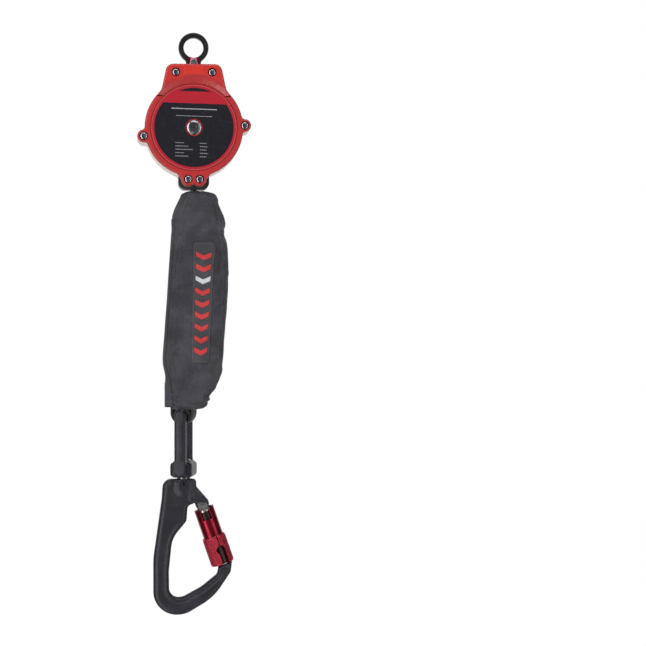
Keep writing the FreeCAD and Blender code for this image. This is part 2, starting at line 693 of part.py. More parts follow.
def spring_cup():
    """Shallow cup on the drum's rear flange that holds the power spring."""
    y0 = FLANGE_OUT
    y1 = PLATE_REAR_Y - FREE
    cup = cyl_y(SPRING_CUP_R, y0, y1, z=HUB_Z)
    cup = cup.cut(cyl_y(SPRING_CUP_R - SPRING_CUP_WALL, y0 + SPRING_CUP_WALL, y1 + 1, z=HUB_Z))
    return cup.cut(cyl_y(SHAFT_R + FREE, y0 - 1, y1 + 1, z=HUB_Z))


def power_spring():
    """Spiral of flat strip from the shaft to the cup, drawn with half circles."""
    r_in = SHAFT_R + TOUCH
    r_end = SPRING_CUP_R - SPRING_CUP_WALL - SPRING_STRIP_T - 0.1
    step = (r_end - r_in) / (2 * SPRING_TURNS)
    inner, outer = [], []
    for k in range(2 * SPRING_TURNS):
        centre = 0.0 if k % 2 == 0 else step
        side = 1 if k % 2 == 0 else -1
        for edges, extra in ((inner, 0.0), (outer, SPRING_STRIP_T)):
            r = r_in + k * step + extra
            a = V(centre + side * r, 0, HUB_Z)
            b = V(centre, 0, HUB_Z + side * r)
            c = V(centre - side * r, 0, HUB_Z)
            edges.append(Part.Arc(a, b, c).toShape())
    ends = []
    for pick, index in ((0, 0), (-1, 1)):
        p = (inner[pick].firstVertex(), inner[pick].lastVertex())[index].Point
        q = (outer[pick].firstVertex(), outer[pick].lastVertex())[index].Point
        ends.append(Part.LineSegment(p, q).toShape())
    wire = Part.Wire(Part.__sortEdges__(inner + [ends[1]] + outer + [ends[0]]))
    y0 = FLANGE_OUT + SPRING_CUP_WALL + SLIP
    return plate(wire, y0, PLATE_REAR_Y - FREE - SLIP)


# ---------------------------------------------------------------- guide, lifeline, pouch and absorber
def exit_guide():
    """Black guide at the block's foot, with a flared slot for the webbing."""
    wire = rounded([(-GUIDE_HALF_X, GUIDE_TOP, 2.0), (-GUIDE_HALF_X, GUIDE_END, GUIDE_CORNER_R),
                    (GUIDE_HALF_X, GUIDE_END, GUIDE_CORNER_R), (GUIDE_HALF_X, GUIDE_TOP, 2.0)])
    guide = plate(wire, -GUIDE_HALF_Y, GUIDE_HALF_Y)
    half_w = WEB_W / 2 + 0.8
    bend = GUIDE_END + GUIDE_BEND
    mouth = GUIDE_SLOT_X + GUIDE_FLARE * (GUIDE_TOP + 2 - bend)
    slot = rounded([(mouth, GUIDE_TOP + 2, 0), (GUIDE_SLOT_X, bend, 5.0),
                    (GUIDE_SLOT_X + 0.6, GUIDE_END - 1, 0), (-GUIDE_SLOT_X - 0.6, GUIDE_END - 1, 0),
                    (-GUIDE_SLOT_X, bend, 5.0), (-mouth, GUIDE_TOP + 2, 0)])
    guide = guide.cut(plate(slot, -half_w, half_w))
    for x, z in LUGS[2:]:
        guide = guide.cut(cyl_y(SCREW_R + SLIP, -GUIDE_HALF_Y - 1, GUIDE_HALF_Y + 1, x, z))
    return guide


def strap(route, thick, y0, y1):
    """Flat webbing that follows a line in the XZ plane, with rounded turns: x, z and radius of each point."""
    left, right = [], []
    n = len(route)
    for i, (x, z, r) in enumerate(route):
        p = V(x, 0, z)
        a = V(route[max(i - 1, 0)][0], 0, route[max(i - 1, 0)][1])
        b = V(route[min(i + 1, n - 1)][0], 0, route[min(i + 1, n - 1)][1])
        into = (p - a).normalize() if i > 0 else (b - p).normalize()
        out = (b - p).normalize() if i < n - 1 else into
        side_in = V(-into.z, 0, into.x)
        side_out = V(-out.z, 0, out.x)
        corner = (side_in + side_out).normalize() * (thick / 2 / math.cos(into.getAngle(out) / 2))
        bend = into.x * out.z - into.z * out.x
        grow = thick / 2 if bend > 0 else -thick / 2
        left.append((p.x + corner.x, p.z + corner.z, r - grow if r else 0))
        right.append((p.x - corner.x, p.z - corner.z, r + grow if r else 0))
    return plate(rounded(left + right[::-1]), y0, y1)


def lifeline_webbing():
    """The lifeline from the roll's tangent down through the guide."""
    turn = math.radians(35.0)
    start = (ROLL_R + WEB_T / 2 + SLIP)
    tangent = (start * math.cos(turn), HUB_Z - start * math.sin(turn))
    z0 = TAIL_TOP + 0.05
    route = [(tangent[0], tangent[1], 0), (0.0, GUIDE_END + GUIDE_BEND + 2.0, 9.0), (0.0, z0, 0)]
    return strap(route, WEB_T, -WEB_W / 2, WEB_W / 2)


def webbing_tail():
    """Short end of the lifeline that enters the pouch."""
    return box(-WEB_T / 2, WEB_T / 2, -WEB_W / 2, WEB_W / 2, SWING_Z - 0.5, TAIL_TOP)


def pouch_section(z, x, half_w, half_d, inset=0.0):
    """One rounded section of the pouch, as a wire at height z."""
    w, d = half_w - inset, half_d - inset
    wire = rounded([(-w, -d, min(w, d) * POUCH_CORNER), (w, -d, min(w, d) * POUCH_CORNER),
                    (w, d, min(w, d) * POUCH_CORNER), (-w, d, min(w, d) * POUCH_CORNER)])
    wire.rotate(V(0, 0, 0), V(1, 0, 0), 90)
    wire.translate(V(x, 0, z))
    return wire


def pouch_form(inset=0.0, over=0.0):
    """The pouch's loft, made smaller by an inset and longer at both open ends."""
    first, last = POUCH_SECTIONS[0], POUCH_SECTIONS[-1]
    rows = [(first[0] + over, *first[1:]), *POUCH_SECTIONS[1:-1], (last[0] - over, *last[1:])]
    return Part.makeLoft([pouch_section(*row, inset=inset) for row in rows], True, False)


def absorber_pouch():
    """Fabric sleeve round the absorber, open where the webbing enters and the end loop leaves."""
    return pouch_form().cut(pouch_form(POUCH_WALL, 2.0))


def pouch_flap():
    """Closure flap along the pouch's lower left edge, with a square end."""
    top, end = FLAP_EDGE[0], FLAP_EDGE[-1]
    outline = rounded([*FLAP_EDGE, (end[0] + 12.0, end[1], 0), (top[0] + 8.0, top[1], 0)])
    flap = plate(outline, FLAP_Y - FLAP_T / 2, FLAP_Y + FLAP_T / 2).cut(pouch_form(-TOUCH, TOUCH))
    return max(flap.Solids, key=lambda solid: solid.Volume)


def lean(z):
    """X of the pouch's leaning middle line at a height."""
    return 5.6 + (z - PACK_TOP) * math.tan(math.radians(PACK_LEAN))


def absorber_pack():
    """Tear webbing folded to and fro, as plies joined by round folds."""
    pitch = PLY_T + PLY_GAP
    width = (PACK_PLIES - 1) * pitch
    shapes = []
    for k in range(PACK_PLIES):
        x = -width / 2 + k * pitch
        shapes.append(box(x - PLY_T / 2, x + PLY_T / 2, 0, PACK_W, PACK_END, PACK_TOP))
    for k in range(PACK_PLIES - 1):
        x = -width / 2 + (k + 0.5) * pitch
        z = PACK_TOP if k % 2 == 0 else PACK_END
        fold = ring_y(pitch / 2 + PLY_T / 2, pitch / 2 - PLY_T / 2, 0, PACK_W, x, z)
        half = box(x - pitch, x + pitch, -1, PACK_W + 1, *((z, z + 9) if k % 2 == 0 else (z - 9, z)))
        shapes.append(fold.common(half))
    pack = shapes[0].fuse(shapes[1:]).removeSplitter()
    pack.translate(V(0, -PACK_W / 2, 0))
    middle = (PACK_TOP + PACK_END) / 2
    pack.rotate(V(0, 0, middle), V(0, 1, 0), PACK_LEAN)
    pack.translate(V(lean(middle), 0, 0))
    return pack


def pack_lead():
    """Lifeline inside the pouch, from the swing point to the pack's stitched end."""
    pitch = PLY_T + PLY_GAP
    tilt = math.radians(PACK_LEAN)
    drop = (PACK_TOP - PACK_END) / 2 * (1 - math.cos(tilt))
    end = PACK_TOP + PLY_GAP / 2 + PLY_T + TOUCH + pitch * math.sin(tilt) - drop
    route = [(0.0, SWING_Z - 0.5 - TOUCH, 0), (0.5, -160.0, 12.0), (lean(PACK_TOP) - pitch, end, 0)]
    return strap(route, WEB_T, -WEB_W / 2, WEB_W / 2)


def about_hook(shape, angle=YAW):
    """The shape turned about the hook's vertical."""
    return turned(shape, -angle, V(HOOK_X, 0, 0), V(0, 0, 1))


def end_loop():
    """Webbing loop below the pouch, round the bail's bar."""
    centre = BAR_Z - BAR_R - 0.5 - LOOP_T + LOOP_R
    loop = ring_y(LOOP_R, LOOP_R - LOOP_T, -LOOP_W / 2, LOOP_W / 2, HOOK_X, centre)
    loop = loop.common(box(HOOK_X - 20, HOOK_X + 20, -20, 20, centre - 20, centre))
    for side in (-1, 1):
        x = HOOK_X + side * (LOOP_R - LOOP_T / 2)
        loop = loop.fuse(box(x - LOOP_T / 2, x + LOOP_T / 2, -LOOP_W / 2, LOOP_W / 2, centre, LOOP_TOP))
    return about_hook(loop.removeSplitter())


# ---------------------------------------------------------------- bail, stud and hook
def bail():
    """Forged link: two legs, a round bar through the loop, and the block that holds the stud."""
    link = None
    for side in (-1, 1):
        y0 = SLOT_HALF if side > 0 else -SLOT_HALF - LEG_T
        wire = rounded([(HOOK_X - LEG_HALF_W, BAR_Z + LEG_HALF_W, LEG_HALF_W - 0.05),
                        (HOOK_X - LEG_HALF_W, LEG_END, 4.0), (HOOK_X + LEG_HALF_W, LEG_END, 4.0),
                        (HOOK_X + LEG_HALF_W, BAR_Z + LEG_HALF_W, LEG_HALF_W - 0.05)])
        leg = plate(wire, y0, y0 + LEG_T)
        outer = at_y(y0 + LEG_T if side > 0 else y0)
        inner = at_y(y0 if side > 0 else y0 + LEG_T)
        leg = leg.makeFillet(LEG_EDGE_R, edges_where(leg, outer))
        leg = leg.makeFillet(1.2, edges_where(leg, inner))
        link = leg if link is None else link.fuse(leg)
    link = link.fuse(cyl_y(BAR_R, -SLOT_HALF - 2, SLOT_HALF + 2, HOOK_X, BAR_Z))
    depth = SLOT_HALF + LEG_T - 1.6
    block = box(HOOK_X - BLOCK_HALF_X, HOOK_X + BLOCK_HALF_X, -depth, depth, BLOCK_END, BLOCK_TOP)
    block = block.makeFillet(4.5, edges_where(block, lambda e: e.BoundBox.ZLength > 5))
    block = block.makeFillet(1.8, edges_where(block, lambda e: e.BoundBox.ZLength < 1e-3))
    link = link.fuse(block)
    link = link.cut(cyl_z(STUD_R + RUN, BLOCK_END - 1, BLOCK_TOP + 1, HOOK_X))
    return about_hook(link.removeSplitter())


def swivel_stud():
    """Domed stud that carries the hook through the bail's block."""
    z0 = BLOCK_TOP + TOUCH
    dome_r = (STUD_HEAD_R ** 2 + STUD_HEAD_T ** 2) / (2 * STUD_HEAD_T)
    head = Part.makeSphere(dome_r, V(HOOK_X, 0, z0 + STUD_HEAD_T - dome_r))
    head = head.common(cyl_z(STUD_HEAD_R, z0, z0 + STUD_HEAD_T + 1, HOOK_X))
    stud = head.fuse(cyl_z(STUD_R, STUD_END, z0 + 0.5, HOOK_X))
    return stud.cut(cyl_y(ROLL_PIN_R + 0.005, -20, 20, HOOK_X, ROLL_PIN_Z)).removeSplitter()


def swivel_washer():
    """Thrust washer between the block and the hook."""
    washer = cyl_z(WASHER_R, HOOK_TOP + RUN, BLOCK_END - TOUCH, HOOK_X)
    return washer.cut(cyl_z(STUD_R + 0.01, HOOK_TOP - 1, BLOCK_END + 1, HOOK_X))


def roll_pin():
    """Slotted pin that locks the stud in the hook."""
    half = BOSS_HALF_T - 0.3
    return ring_y(ROLL_PIN_R, ROLL_PIN_BORE, -half, half, HOOK_X, ROLL_PIN_Z)


GATE_DIR = V(math.sin(math.radians(GATE_TILT)), 0, -math.cos(math.radians(GATE_TILT)))
PIVOT = V(GATE_TOP[0], 0, GATE_TOP[1]) - GATE_DIR * GATE_PIVOT_UP


def on_gate(shape):
    """The shape drawn on the Z axis with its top at the origin, moved onto the gate's axis."""
    copy = turned(shape, -GATE_TILT, V(0, 0, 0), V(0, 1, 0))
    copy.translate(V(GATE_TOP[0], 0, GATE_TOP[1]))
    return copy


def hook_points():
    """Outline of the hook: head, spine, basket and nose, then back inside to the throat."""
    return [(2.9, HOOK_TOP, HOOK_EDGE_R + 0.2), (-32.0, HOOK_TOP, 9.5), (-33.2, -472.0, 60.0),
            (-42.1, -535.0, 90.0), (-42.0, -593.8, 24.5), (-9.0, -594.2, 28.0), (21.5, -576.0, 60.0), (39.2, -549.5, 8.0),
            (41.0, -534.0, 0.0), (28.0, -534.0, 0.0), (24.6, -551.6, 6.0), (8.0, -565.0, 50.0),
            (-11.0, -575.2, 14.0), (-25.2, -576.5, 9.5), (-25.7, -548.0, 50.0), (-22.2, -514.0, 30.0),
            (-7.2, -496.0, 7.0), (-6.0, -478.4, 5.4), (4.4, -478.4, 4.6), (4.4, -484.5, 0.0),
            (14.6, -484.5, 0.0), (14.6, -473.0, 4.0), (3.0, -459.8, 3.0)]


def hook_body():
    """Forged hook with a boss round the stud, a thin lug for the gate and a slotted nose."""
    half = HOOK_T / 2
    frame = plate(rounded(hook_points()), -half, half)
    frame = frame.cut(plate(disc(ARC_CLEAR, PIVOT.x, PIVOT.z), -half - 1, half + 1).common(nose_side()))
    # round the long edges before the lug is thinned
    frame = frame.makeFillet(HOOK_EDGE_R, edges_where(frame, long_edge(half)))
    # boss round the stud
    boss = cyl_z(BOSS_HALF_T, ROLL_PIN_Z - 4.0, HOOK_TOP, HOOK_X)
    boss = boss.fuse(Part.makeSphere(BOSS_HALF_T, V(HOOK_X, 0, ROLL_PIN_Z - 4.0)))
    boss = boss.makeChamfer(0.8, edges_where(boss, lambda e: abs(e.BoundBox.ZMin - HOOK_TOP) < 1e-4))
    frame = frame.fuse(boss)
    # thin lug between the gate's ears
    lug = plate(disc(GATE_LUG_R, PIVOT.x, PIVOT.z), -LUG_HALF_T, LUG_HALF_T)
    room = plate(disc(GATE_EAR_R + FREE + 0.3, PIVOT.x, PIVOT.z), -30, 30)
    room = room.fuse(cyl_y(9.6, -30, 30, PIVOT.x, PIVOT.z).common(
        box(PIVOT.x - 20, PIVOT.x + 20, -40, 40, PIVOT.z - 20, PIVOT.z + 0.6)))
    inner = plate(joined([disc(GATE_LUG_R, PIVOT.x, PIVOT.z), rounded([(4.6, -470.0, 0), (14.4, -472.0, 0),
                                                               (14.4, -480.0, 0), (4.6, -481.0, 0)])]),
                  -LUG_HALF_T, LUG_HALF_T)
    frame = frame.cut(room).fuse(inner.common(room.fuse(lug)))
    frame = frame.fuse(lug)
    # bores
    frame = frame.cut(cyl_z(STUD_R + 0.01, STUD_END - 0.5, HOOK_TOP + 1, HOOK_X))
    frame = frame.cut(cyl_y(ROLL_PIN_R + 0.005, -20, 20, HOOK_X, ROLL_PIN_Z))
    frame = frame.cut(cyl_y(PIN_R + RUN, -20, 20, PIVOT.x, PIVOT.z))
    # slot of the gate's tongue in the nose, open to the inside
    reach = GATE_PIVOT_UP + GATE_END + TONGUE_L + 0.5
    slot = cyl_y(reach, -TONGUE_T / 2 - 0.4, TONGUE_T / 2 + 0.4, PIVOT.x, PIVOT.z)
    side = box(-60, TONGUE_HALF + 0.5, -20, 20, -GATE_END - 12, -GATE_END + 6)
    return frame.cut(slot.common(on_gate(side))).removeSplitter()


ARC_CLEAR = math.hypot(GATE_PIVOT_UP + LOWER_END, LOWER_R) + TOUCH


def nose_side():
    """Region that holds the nose and the gate but not the head or the basket's floor."""
    return box(PIVOT.x, PIVOT.x + ARC_CLEAR, -30, 30, PIVOT.z - 1.2 * ARC_CLEAR, PIVOT.z - 0.7 * ARC_CLEAR)


def long_edge(half):
    """Test for the hook's outline edges, away from the gate's lug and the nose's end."""
    nose = PIVOT + GATE_DIR * (GATE_PIVOT_UP + GATE_END)
    def test(e):
        flat = at_y(-half)(e) or at_y(half)(e)
        middle = e.valueAt((e.FirstParameter + e.LastParameter) / 2)
        near_lug = middle.x > PIVOT.x - 6.0 and abs(middle.z - PIVOT.z) < GATE_LUG_R + 1.0
        near_nose = math.hypot(middle.x - nose.x, middle.z - nose.z) < NOSE_BARE
        return flat and not near_lug and not near_nose
    return test


def gate():
    """Gate: a round bar forked over the hook's lug, with a tongue that enters the nose."""
    bar = cyl_z(GATE_R, -GATE_END, -2.0)
    ears = plate(joined([disc(GATE_EAR_R, 0, GATE_PIVOT_UP),
                         rounded([(-GATE_EAR_R, GATE_PIVOT_UP, 0), (GATE_EAR_R, GATE_PIVOT_UP, 0),
                                  (GATE_EAR_R, -3.0, 0), (-GATE_EAR_R, -3.0, 0)])]), -6.0, 6.0)
    bar = bar.fuse(ears)
    fork = LUG_HALF_T + RUN * 2
    bar = bar.cut(box(-20, 20, -fork, fork, GATE_PIVOT_UP - GATE_LUG_R - FREE, 20))
    bar = bar.cut(cyl_y(PIN_R + 0.005, -20, 20, 0, GATE_PIVOT_UP))
    bar = bar.cut(cyl_z(PLUNGER_R + 0.05, -40.0, 0.0))
    tongue = box(-TONGUE_HALF, TONGUE_HALF, -TONGUE_T / 2, TONGUE_T / 2, -GATE_END - TONGUE_L, -GATE_END + 1)
    return on_gate(bar.fuse(tongue).removeSplitter())


def gate_pin():
    """Riveted pin of the gate's hinge."""
    return cyl_y(PIN_R, -6.4, 6.4, PIVOT.x, PIVOT.z)


def gate_plunger():
    """Steel plunger in the gate that pushes on the hook's lug to close the gate."""
    top = GATE_PIVOT_UP - GATE_LUG_R - TOUCH
    pin = cyl_z(PLUNGER_R, -16.0, top)
    return on_gate(pin.makeFillet(0.9, edges_where(pin, lambda e: abs(e.BoundBox.ZMin - top) < 1e-4)))


def coil(r, wire_r, z0, z1, turns):
    """Helical spring on the Z axis between two heights."""
    height = z1 - z0 - 2 * wire_r
    helix = Part.makeHelix(height / turns, height, r)
    profile = Part.Wire(Part.makeCircle(wire_r, V(r, 0, 0), V(0, 1, 0)))
    spring = Part.Wire(helix).makePipeShell([profile], True, True)
    spring.translate(V(0, 0, z0 + wire_r))
    return spring


def gate_spring():
    """Closing spring behind the plunger."""
    return on_gate(coil(1.7, 0.4, -39.8, -16.3, 12))


def upper_sleeve():
    """Smooth sleeve fixed round the top of the gate, notched at the front."""
    sleeve = cyl_z(UPPER_R, -UPPER_L, 0)
    sleeve = sleeve.makeFillet(0.6, edges_where(sleeve, lambda e: abs(e.BoundBox.ZMax) < 1e-4
                                                and e.BoundBox.ZLength < 1e-6))
    sleeve = sleeve.cut(cyl_z(SLEEVE_WALL_R, -UPPER_L - 1, 1))
    sleeve = sleeve.cut(box(-NOTCH_W / 2, NOTCH_W / 2, -20, 0, -NOTCH_L, 1))
    vee = plate(rounded([(UPPER_R - 6.5, 1, 0), (UPPER_R - 4.7, -3.4, 0), (UPPER_R - 2.9, 1, 0)]), -20, 0)
    return on_gate(sleeve.cut(vee))


def sleeve_slider():
    """Steel ring that slides on the gate and lifts the locking sleeve."""
    ring = cyl_z(LOWER_BORE_R - RUN * 2, -SLIDER_TOP - SLIDER_L, -SLIDER_TOP)
    return on_gate(ring.cut(cyl_z(SLEEVE_WALL_R + 0.1, -80, 0)))


LOWER_BORE_R = UPPER_R + 0.3


def sleeve_spring():
    """Slotted tube spring that pushes the slider down; its slots open to alternate sides."""
    z0, z1 = -SLIDER_TOP + RUN * 2, -UPPER_L - RUN * 2
    bore = TUBE_SPRING_R - TUBE_SPRING_WALL
    tube = cyl_z(TUBE_SPRING_R, z0, z1).cut(cyl_z(bore, z0 - 1, z1 + 1))
    step = (z1 - z0) / (2 * TUBE_SPRING_SLOTS + 1)
    for k in range(TUBE_SPRING_SLOTS):
        low = z0 + (2 * k + 1) * step
        slot = box(-TUBE_SPRING_R * 2, bore * 0.85, -TUBE_SPRING_R, TUBE_SPRING_R, low, low + step)
        tube = tube.cut(turned(slot, 180.0 * (k % 2), V(0, 0, 0), V(0, 0, 1)))
    return on_gate(tube)


def locking_sleeve():
    """Knurled sleeve: a bore over the slider, a shoulder under it, and a window open at the foot."""
    top = -UPPER_L - TOUCH
    sleeve = cyl_z(LOWER_R - KNURL_R, -LOWER_END, top)
    sleeve = sleeve.makeFillet(0.7, edges_where(sleeve, lambda e: e.BoundBox.ZLength < 1e-6))
    sleeve = sleeve.cut(cyl_z(LOWER_BORE_R, -SLIDER_TOP - SLIDER_L - SLIP, 1))
    sleeve = sleeve.cut(cyl_z(SLEEVE_WALL_R + 0.2, -LOWER_END - 1, 1))
    ridges = []
    for k in range(KNURLS):
        a = 2 * math.pi * k / KNURLS
        r = LOWER_R - KNURL_R
        ridge = cyl_z(KNURL_R * 1.6, -LOWER_END + 2.0, top - 2.0, r * math.cos(a), r * math.sin(a))
        ridges.append(ridge)
    sleeve = sleeve.fuse(ridges)
    window = plate(joined([disc(WINDOW_W / 2, 0, -WINDOW_TOP - WINDOW_W / 2),
                           rounded([(-WINDOW_W / 2 + 1.6, -WINDOW_TOP - WINDOW_W / 2, 0),
                                    (WINDOW_W / 2, -WINDOW_TOP - WINDOW_W / 2, 0),
                                    (WINDOW_W / 2, -LOWER_END - 1, 0),
                                    (-WINDOW_W / 2 + 1.6, -LOWER_END - 1, 0)])]), -20, 0)
    slit = box(-0.5, 0.5, -20, 0, -WINDOW_TOP - 2, 1)
    window = turned(window.fuse(slit), WINDOW_SHIFT, V(0, 0, 0), V(0, 0, 1))
    return on_gate(sleeve.cut(window).removeSplitter())


# ---------------------------------------------------------------- build
def build():
    """Write every node."""
    save("anchor_eye", anchor_eye())
    save("eye_rivet", eye_rivet())
    save("swivel_clevis", swivel_clevis())
    save("swivel_nut", swivel_nut())
    save("swivel_bush", swivel_bush())
    save("swivel_yoke", swivel_yoke())
    save("frame_plate_front", frame_plate(PLATE_FRONT_Y))
    save("frame_plate_rear", frame_plate(PLATE_REAR_Y))
    save("front_cover", front_cover())
    save("top_cap", top_cap())
    save("rear_cover", rear_cover())
    save("label_plate", label_plate())
    save("cap_screws", *[pan_screw(x, z, CAP_Y + 0.5, CAP_SCREW_L) for x, z in CAP_SCREWS])
    save("rear_cap_screws", *[pan_screw(x, z, -HALF_D, REAR_SCREW_L, -1) for x, z in CAP_SCREWS])
    save("cover_screws", *[pan_screw(x, z, FRONT_Y + 0.1, LUG_SCREW_L) for x, z in LUGS])
    save("hub_bolt", hub_bolt(FRONT_Y + 1.0 - HUB_BOLT_T))
    save("rear_hub_bolt", hub_bolt(FRONT_Y + 1.0 - HUB_BOLT_T, -1))
    save("drum_shaft", drum_shaft())
    save("drum", drum())
    save("drum_bushes", *drum_bushes())
    save("webbing_roll", webbing_roll())
    save("ratchet_ring", ratchet_ring())
    for letter, place in zip("ab", pawl_pivots()):
        save(f"pawl_{letter}", pawl(*place))
    save("pawl_pins", *pawl_pins())
    save("pawl_springs", *pawl_springs())
    save("spring_cup", spring_cup())
    save("power_spring", power_spring())
    save("exit_guide", exit_guide())
    save("lifeline_webbing", lifeline_webbing())
    save("webbing_tail", webbing_tail())
    save("absorber_pouch", absorber_pouch())
    save("pouch_flap", pouch_flap())
    save("absorber_pack", absorber_pack())
    save("pack_lead", pack_lead())
    save("end_loop", end_loop())
    save("bail", bail())
    save("swivel_stud", swivel_stud())
    save("swivel_washer", swivel_washer())
    save("roll_pin", roll_pin())
    save("hook_body", hook_body())
    save("gate", gate())
    save("gate_pin", gate_pin())
    save("gate_plunger", gate_plunger())
    save("gate_spring", gate_spring())
    save("upper_sleeve", upper_sleeve())
    save("sleeve_slider", sleeve_slider())
    save("sleeve_spring", sleeve_spring())
    save("locking_sleeve", locking_sleeve())


if __name__ == "__main__":
    os.makedirs("parts", exist_ok=True)
    build()
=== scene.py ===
"""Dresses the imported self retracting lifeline: its finishes, its soft goods, the studio and the camera.

Positions are in metres, in the row frame: +Z up, the labelled face towards -Y, the anchor eye's hole at the
origin. Sizes of what is built here are in millimetres, and MM turns them into metres. Most hard pieces keep
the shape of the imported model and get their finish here. The soft goods, the forgings of the hook and the
bail, the front fasteners, the locking sleeve with its spring and clip, and the roll pin are built here.
"""

import logging
import math
from dataclasses import dataclass
from enum import Enum
from typing import Callable, Iterable, Sequence

import bmesh
import bpy
from mathutils import Matrix, Vector
from mathutils.bvhtree import BVHTree
from mathutils.kdtree import KDTree


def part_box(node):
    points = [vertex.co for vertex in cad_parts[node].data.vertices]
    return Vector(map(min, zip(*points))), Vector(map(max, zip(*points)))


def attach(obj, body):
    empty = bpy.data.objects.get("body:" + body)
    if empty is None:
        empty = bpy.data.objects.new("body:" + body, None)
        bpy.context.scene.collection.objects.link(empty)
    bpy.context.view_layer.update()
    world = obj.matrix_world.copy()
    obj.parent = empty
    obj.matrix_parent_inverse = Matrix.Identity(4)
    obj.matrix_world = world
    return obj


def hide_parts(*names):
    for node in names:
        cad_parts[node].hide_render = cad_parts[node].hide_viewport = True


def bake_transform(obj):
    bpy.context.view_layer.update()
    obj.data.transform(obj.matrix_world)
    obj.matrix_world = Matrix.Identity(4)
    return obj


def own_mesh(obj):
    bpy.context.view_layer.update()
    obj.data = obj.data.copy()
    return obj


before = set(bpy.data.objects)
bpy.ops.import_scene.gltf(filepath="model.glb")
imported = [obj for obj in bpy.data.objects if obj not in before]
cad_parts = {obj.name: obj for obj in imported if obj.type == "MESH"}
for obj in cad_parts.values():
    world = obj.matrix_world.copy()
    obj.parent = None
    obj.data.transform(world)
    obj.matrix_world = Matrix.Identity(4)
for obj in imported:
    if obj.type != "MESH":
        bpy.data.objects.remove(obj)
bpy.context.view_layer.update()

LOG = logging.getLogger("lifeline")
Point = tuple[float, float, float]
Pair = tuple[float, float]
Colour = tuple[float, ...]
Faces = list[tuple[int, ...]]
Mesh = tuple[list[Vector], Faces]
Stitch = tuple[Vector, Vector, Vector]
Piece = bpy.types.Object
Socket = bpy.types.NodeSocket

MM = 0.001
WELD = 1e-6
# X and Z of the upper end of the gate's axis in millimetres, that axis's lean, and the bail's turn about Z
GATE_TOP: Pair = (10.6, -482.3)
GATE_TILT = math.radians(19.1)
LINK_YAW = math.radians(11.5)


# ---------------------------------------------------------------- small tools
def tone(red: int, green: int, blue: int) -> Colour:
    """Turn a display colour, each part from 0 to 255, into a linear one with full opacity."""
    linear = [c / 255 / 12.92 if c <= 10 else ((c / 255 + 0.055) / 1.055) ** 2.4 for c in (red, green, blue)]
    return (*linear, 1.0)


def sweep(start: float, end: float, steps: int) -> list[float]:
    """Give evenly spread values from a start to an end, both among them."""
    return [start + (end - start) * k / steps for k in range(steps + 1)]


def circle(count: int) -> list[float]:
    """Give angles that are spread evenly round a full turn."""
    return sweep(0.0, 2 * math.pi, count)[:-1]


def arc(r: float, turns: Iterable[float]) -> list[Pair]:
    """Give the two places of a point at a radius, for each of some angles."""
    return [(r * math.cos(a), r * math.sin(a)) for a in turns]


def part_way(pair: Pair, share: float) -> float:
    """Give the value that lies a share of the way from the first of a pair to the second."""
    return pair[0] + (pair[1] - pair[0]) * share


def soft_step(value: float) -> float:
    """Ease from 0 to 1 as a value goes from 0 to 1, and stay there outside."""
    t = min(1.0, max(0.0, value))
    return t * t * (3 - 2 * t)


def put(name: str, data: bpy.types.ID) -> Piece:
    """Make an object of some data and link it to the scene.

    Args:
        name: Name of the object.
        data: Its mesh, light or camera.

    Returns:
        The object.
    """
    piece = bpy.data.objects.new(name, data)
    bpy.context.scene.collection.objects.link(piece)
    return piece


def smooth_mesh(name: str, points: Iterable[Vector], faces: Iterable[Sequence[int]], smooth: bool = True
                ) -> Piece:
    """Make a mesh object and link it to the scene.

    Args:
        name: Name of the piece.
        points: Corner points in metres.
        faces: Corner numbers of each face.
        smooth: Whether the faces are shaded smooth.

    Returns:
        The new object.
    """
    data = bpy.data.meshes.new(name)
    data.from_pydata([tuple(p) for p in points], [], [tuple(f) for f in faces])
    data.validate()
    data.polygons.foreach_set("use_smooth", [smooth] * len(data.polygons))
    data.update()
    return put(name, data)


def apply_modifiers(piece: Piece) -> None:
    """Put the result of a piece's modifiers into its mesh, and drop the old mesh.

    Args:
        piece: The piece.
    """
    fresh = bpy.data.meshes.new_from_object(piece.evaluated_get(bpy.context.evaluated_depsgraph_get()))
    piece.modifiers.clear()
    old, piece.data = piece.data, fresh
    bpy.data.meshes.remove(old)


def add_mesh(mesh: Mesh, more: Mesh) -> None:
    """Add the points and faces of one mesh to another.

    Args:
        mesh: The mesh that grows.
        more: The mesh that is added to it.
    """
    first = len(mesh[0])
    mesh[0].extend(more[0])
    mesh[1].extend(tuple(first + k for k in face) for face in more[1])


def grid_faces(rows: int, columns: int) -> Faces:
    """List the faces of a flat grid with that many rows and columns of faces."""
    wide = columns + 1
    return [(k, k + wide, k + wide + 1, k + 1) for k in range(rows * wide) if k % wide < columns]


def ring_faces(rings: int, count: int, looped: bool = False) -> Faces:
    """List the faces between closed rings of points.

    Args:
        rings: Number of rings.
        count: Points of each ring.
        looped: Whether the last ring joins the first.

    Returns:
        The faces.
    """
    faces: Faces = []
    for r in range(rings if looped else rings - 1):
        low, high = r * count, (r + 1) % rings * count
        for c in range(count):
            n = (c + 1) % count
            faces.append((low + c, low + n, high + n, high + c))
    return faces


def lathe_rows(rows: Sequence[Sequence[Vector]], looped: bool = False) -> Mesh:
    """Join closed rows of points into a skin.

    Args:
        rows: Rows of equally many points, each row a closed ring.
        looped: Whether the last row joins the first. If not, both ends are closed with a fan.

    Returns:
        The points and the faces.
    """
    count = len(rows[0])
    points = [p for row in rows for p in row]
    faces = ring_faces(len(rows), count, looped)
    if looped:
        return points, faces
    for row, order in ((0, -1), (len(rows) - 1, 1)):
        points.append(sum((Vector(p) for p in rows[row]), Vector()) / count)
        for c in range(count):
            pair = (row * count + c, row * count + (c + 1) % count)
            faces.append((*pair[::order], len(points) - 1))
    return points, faces


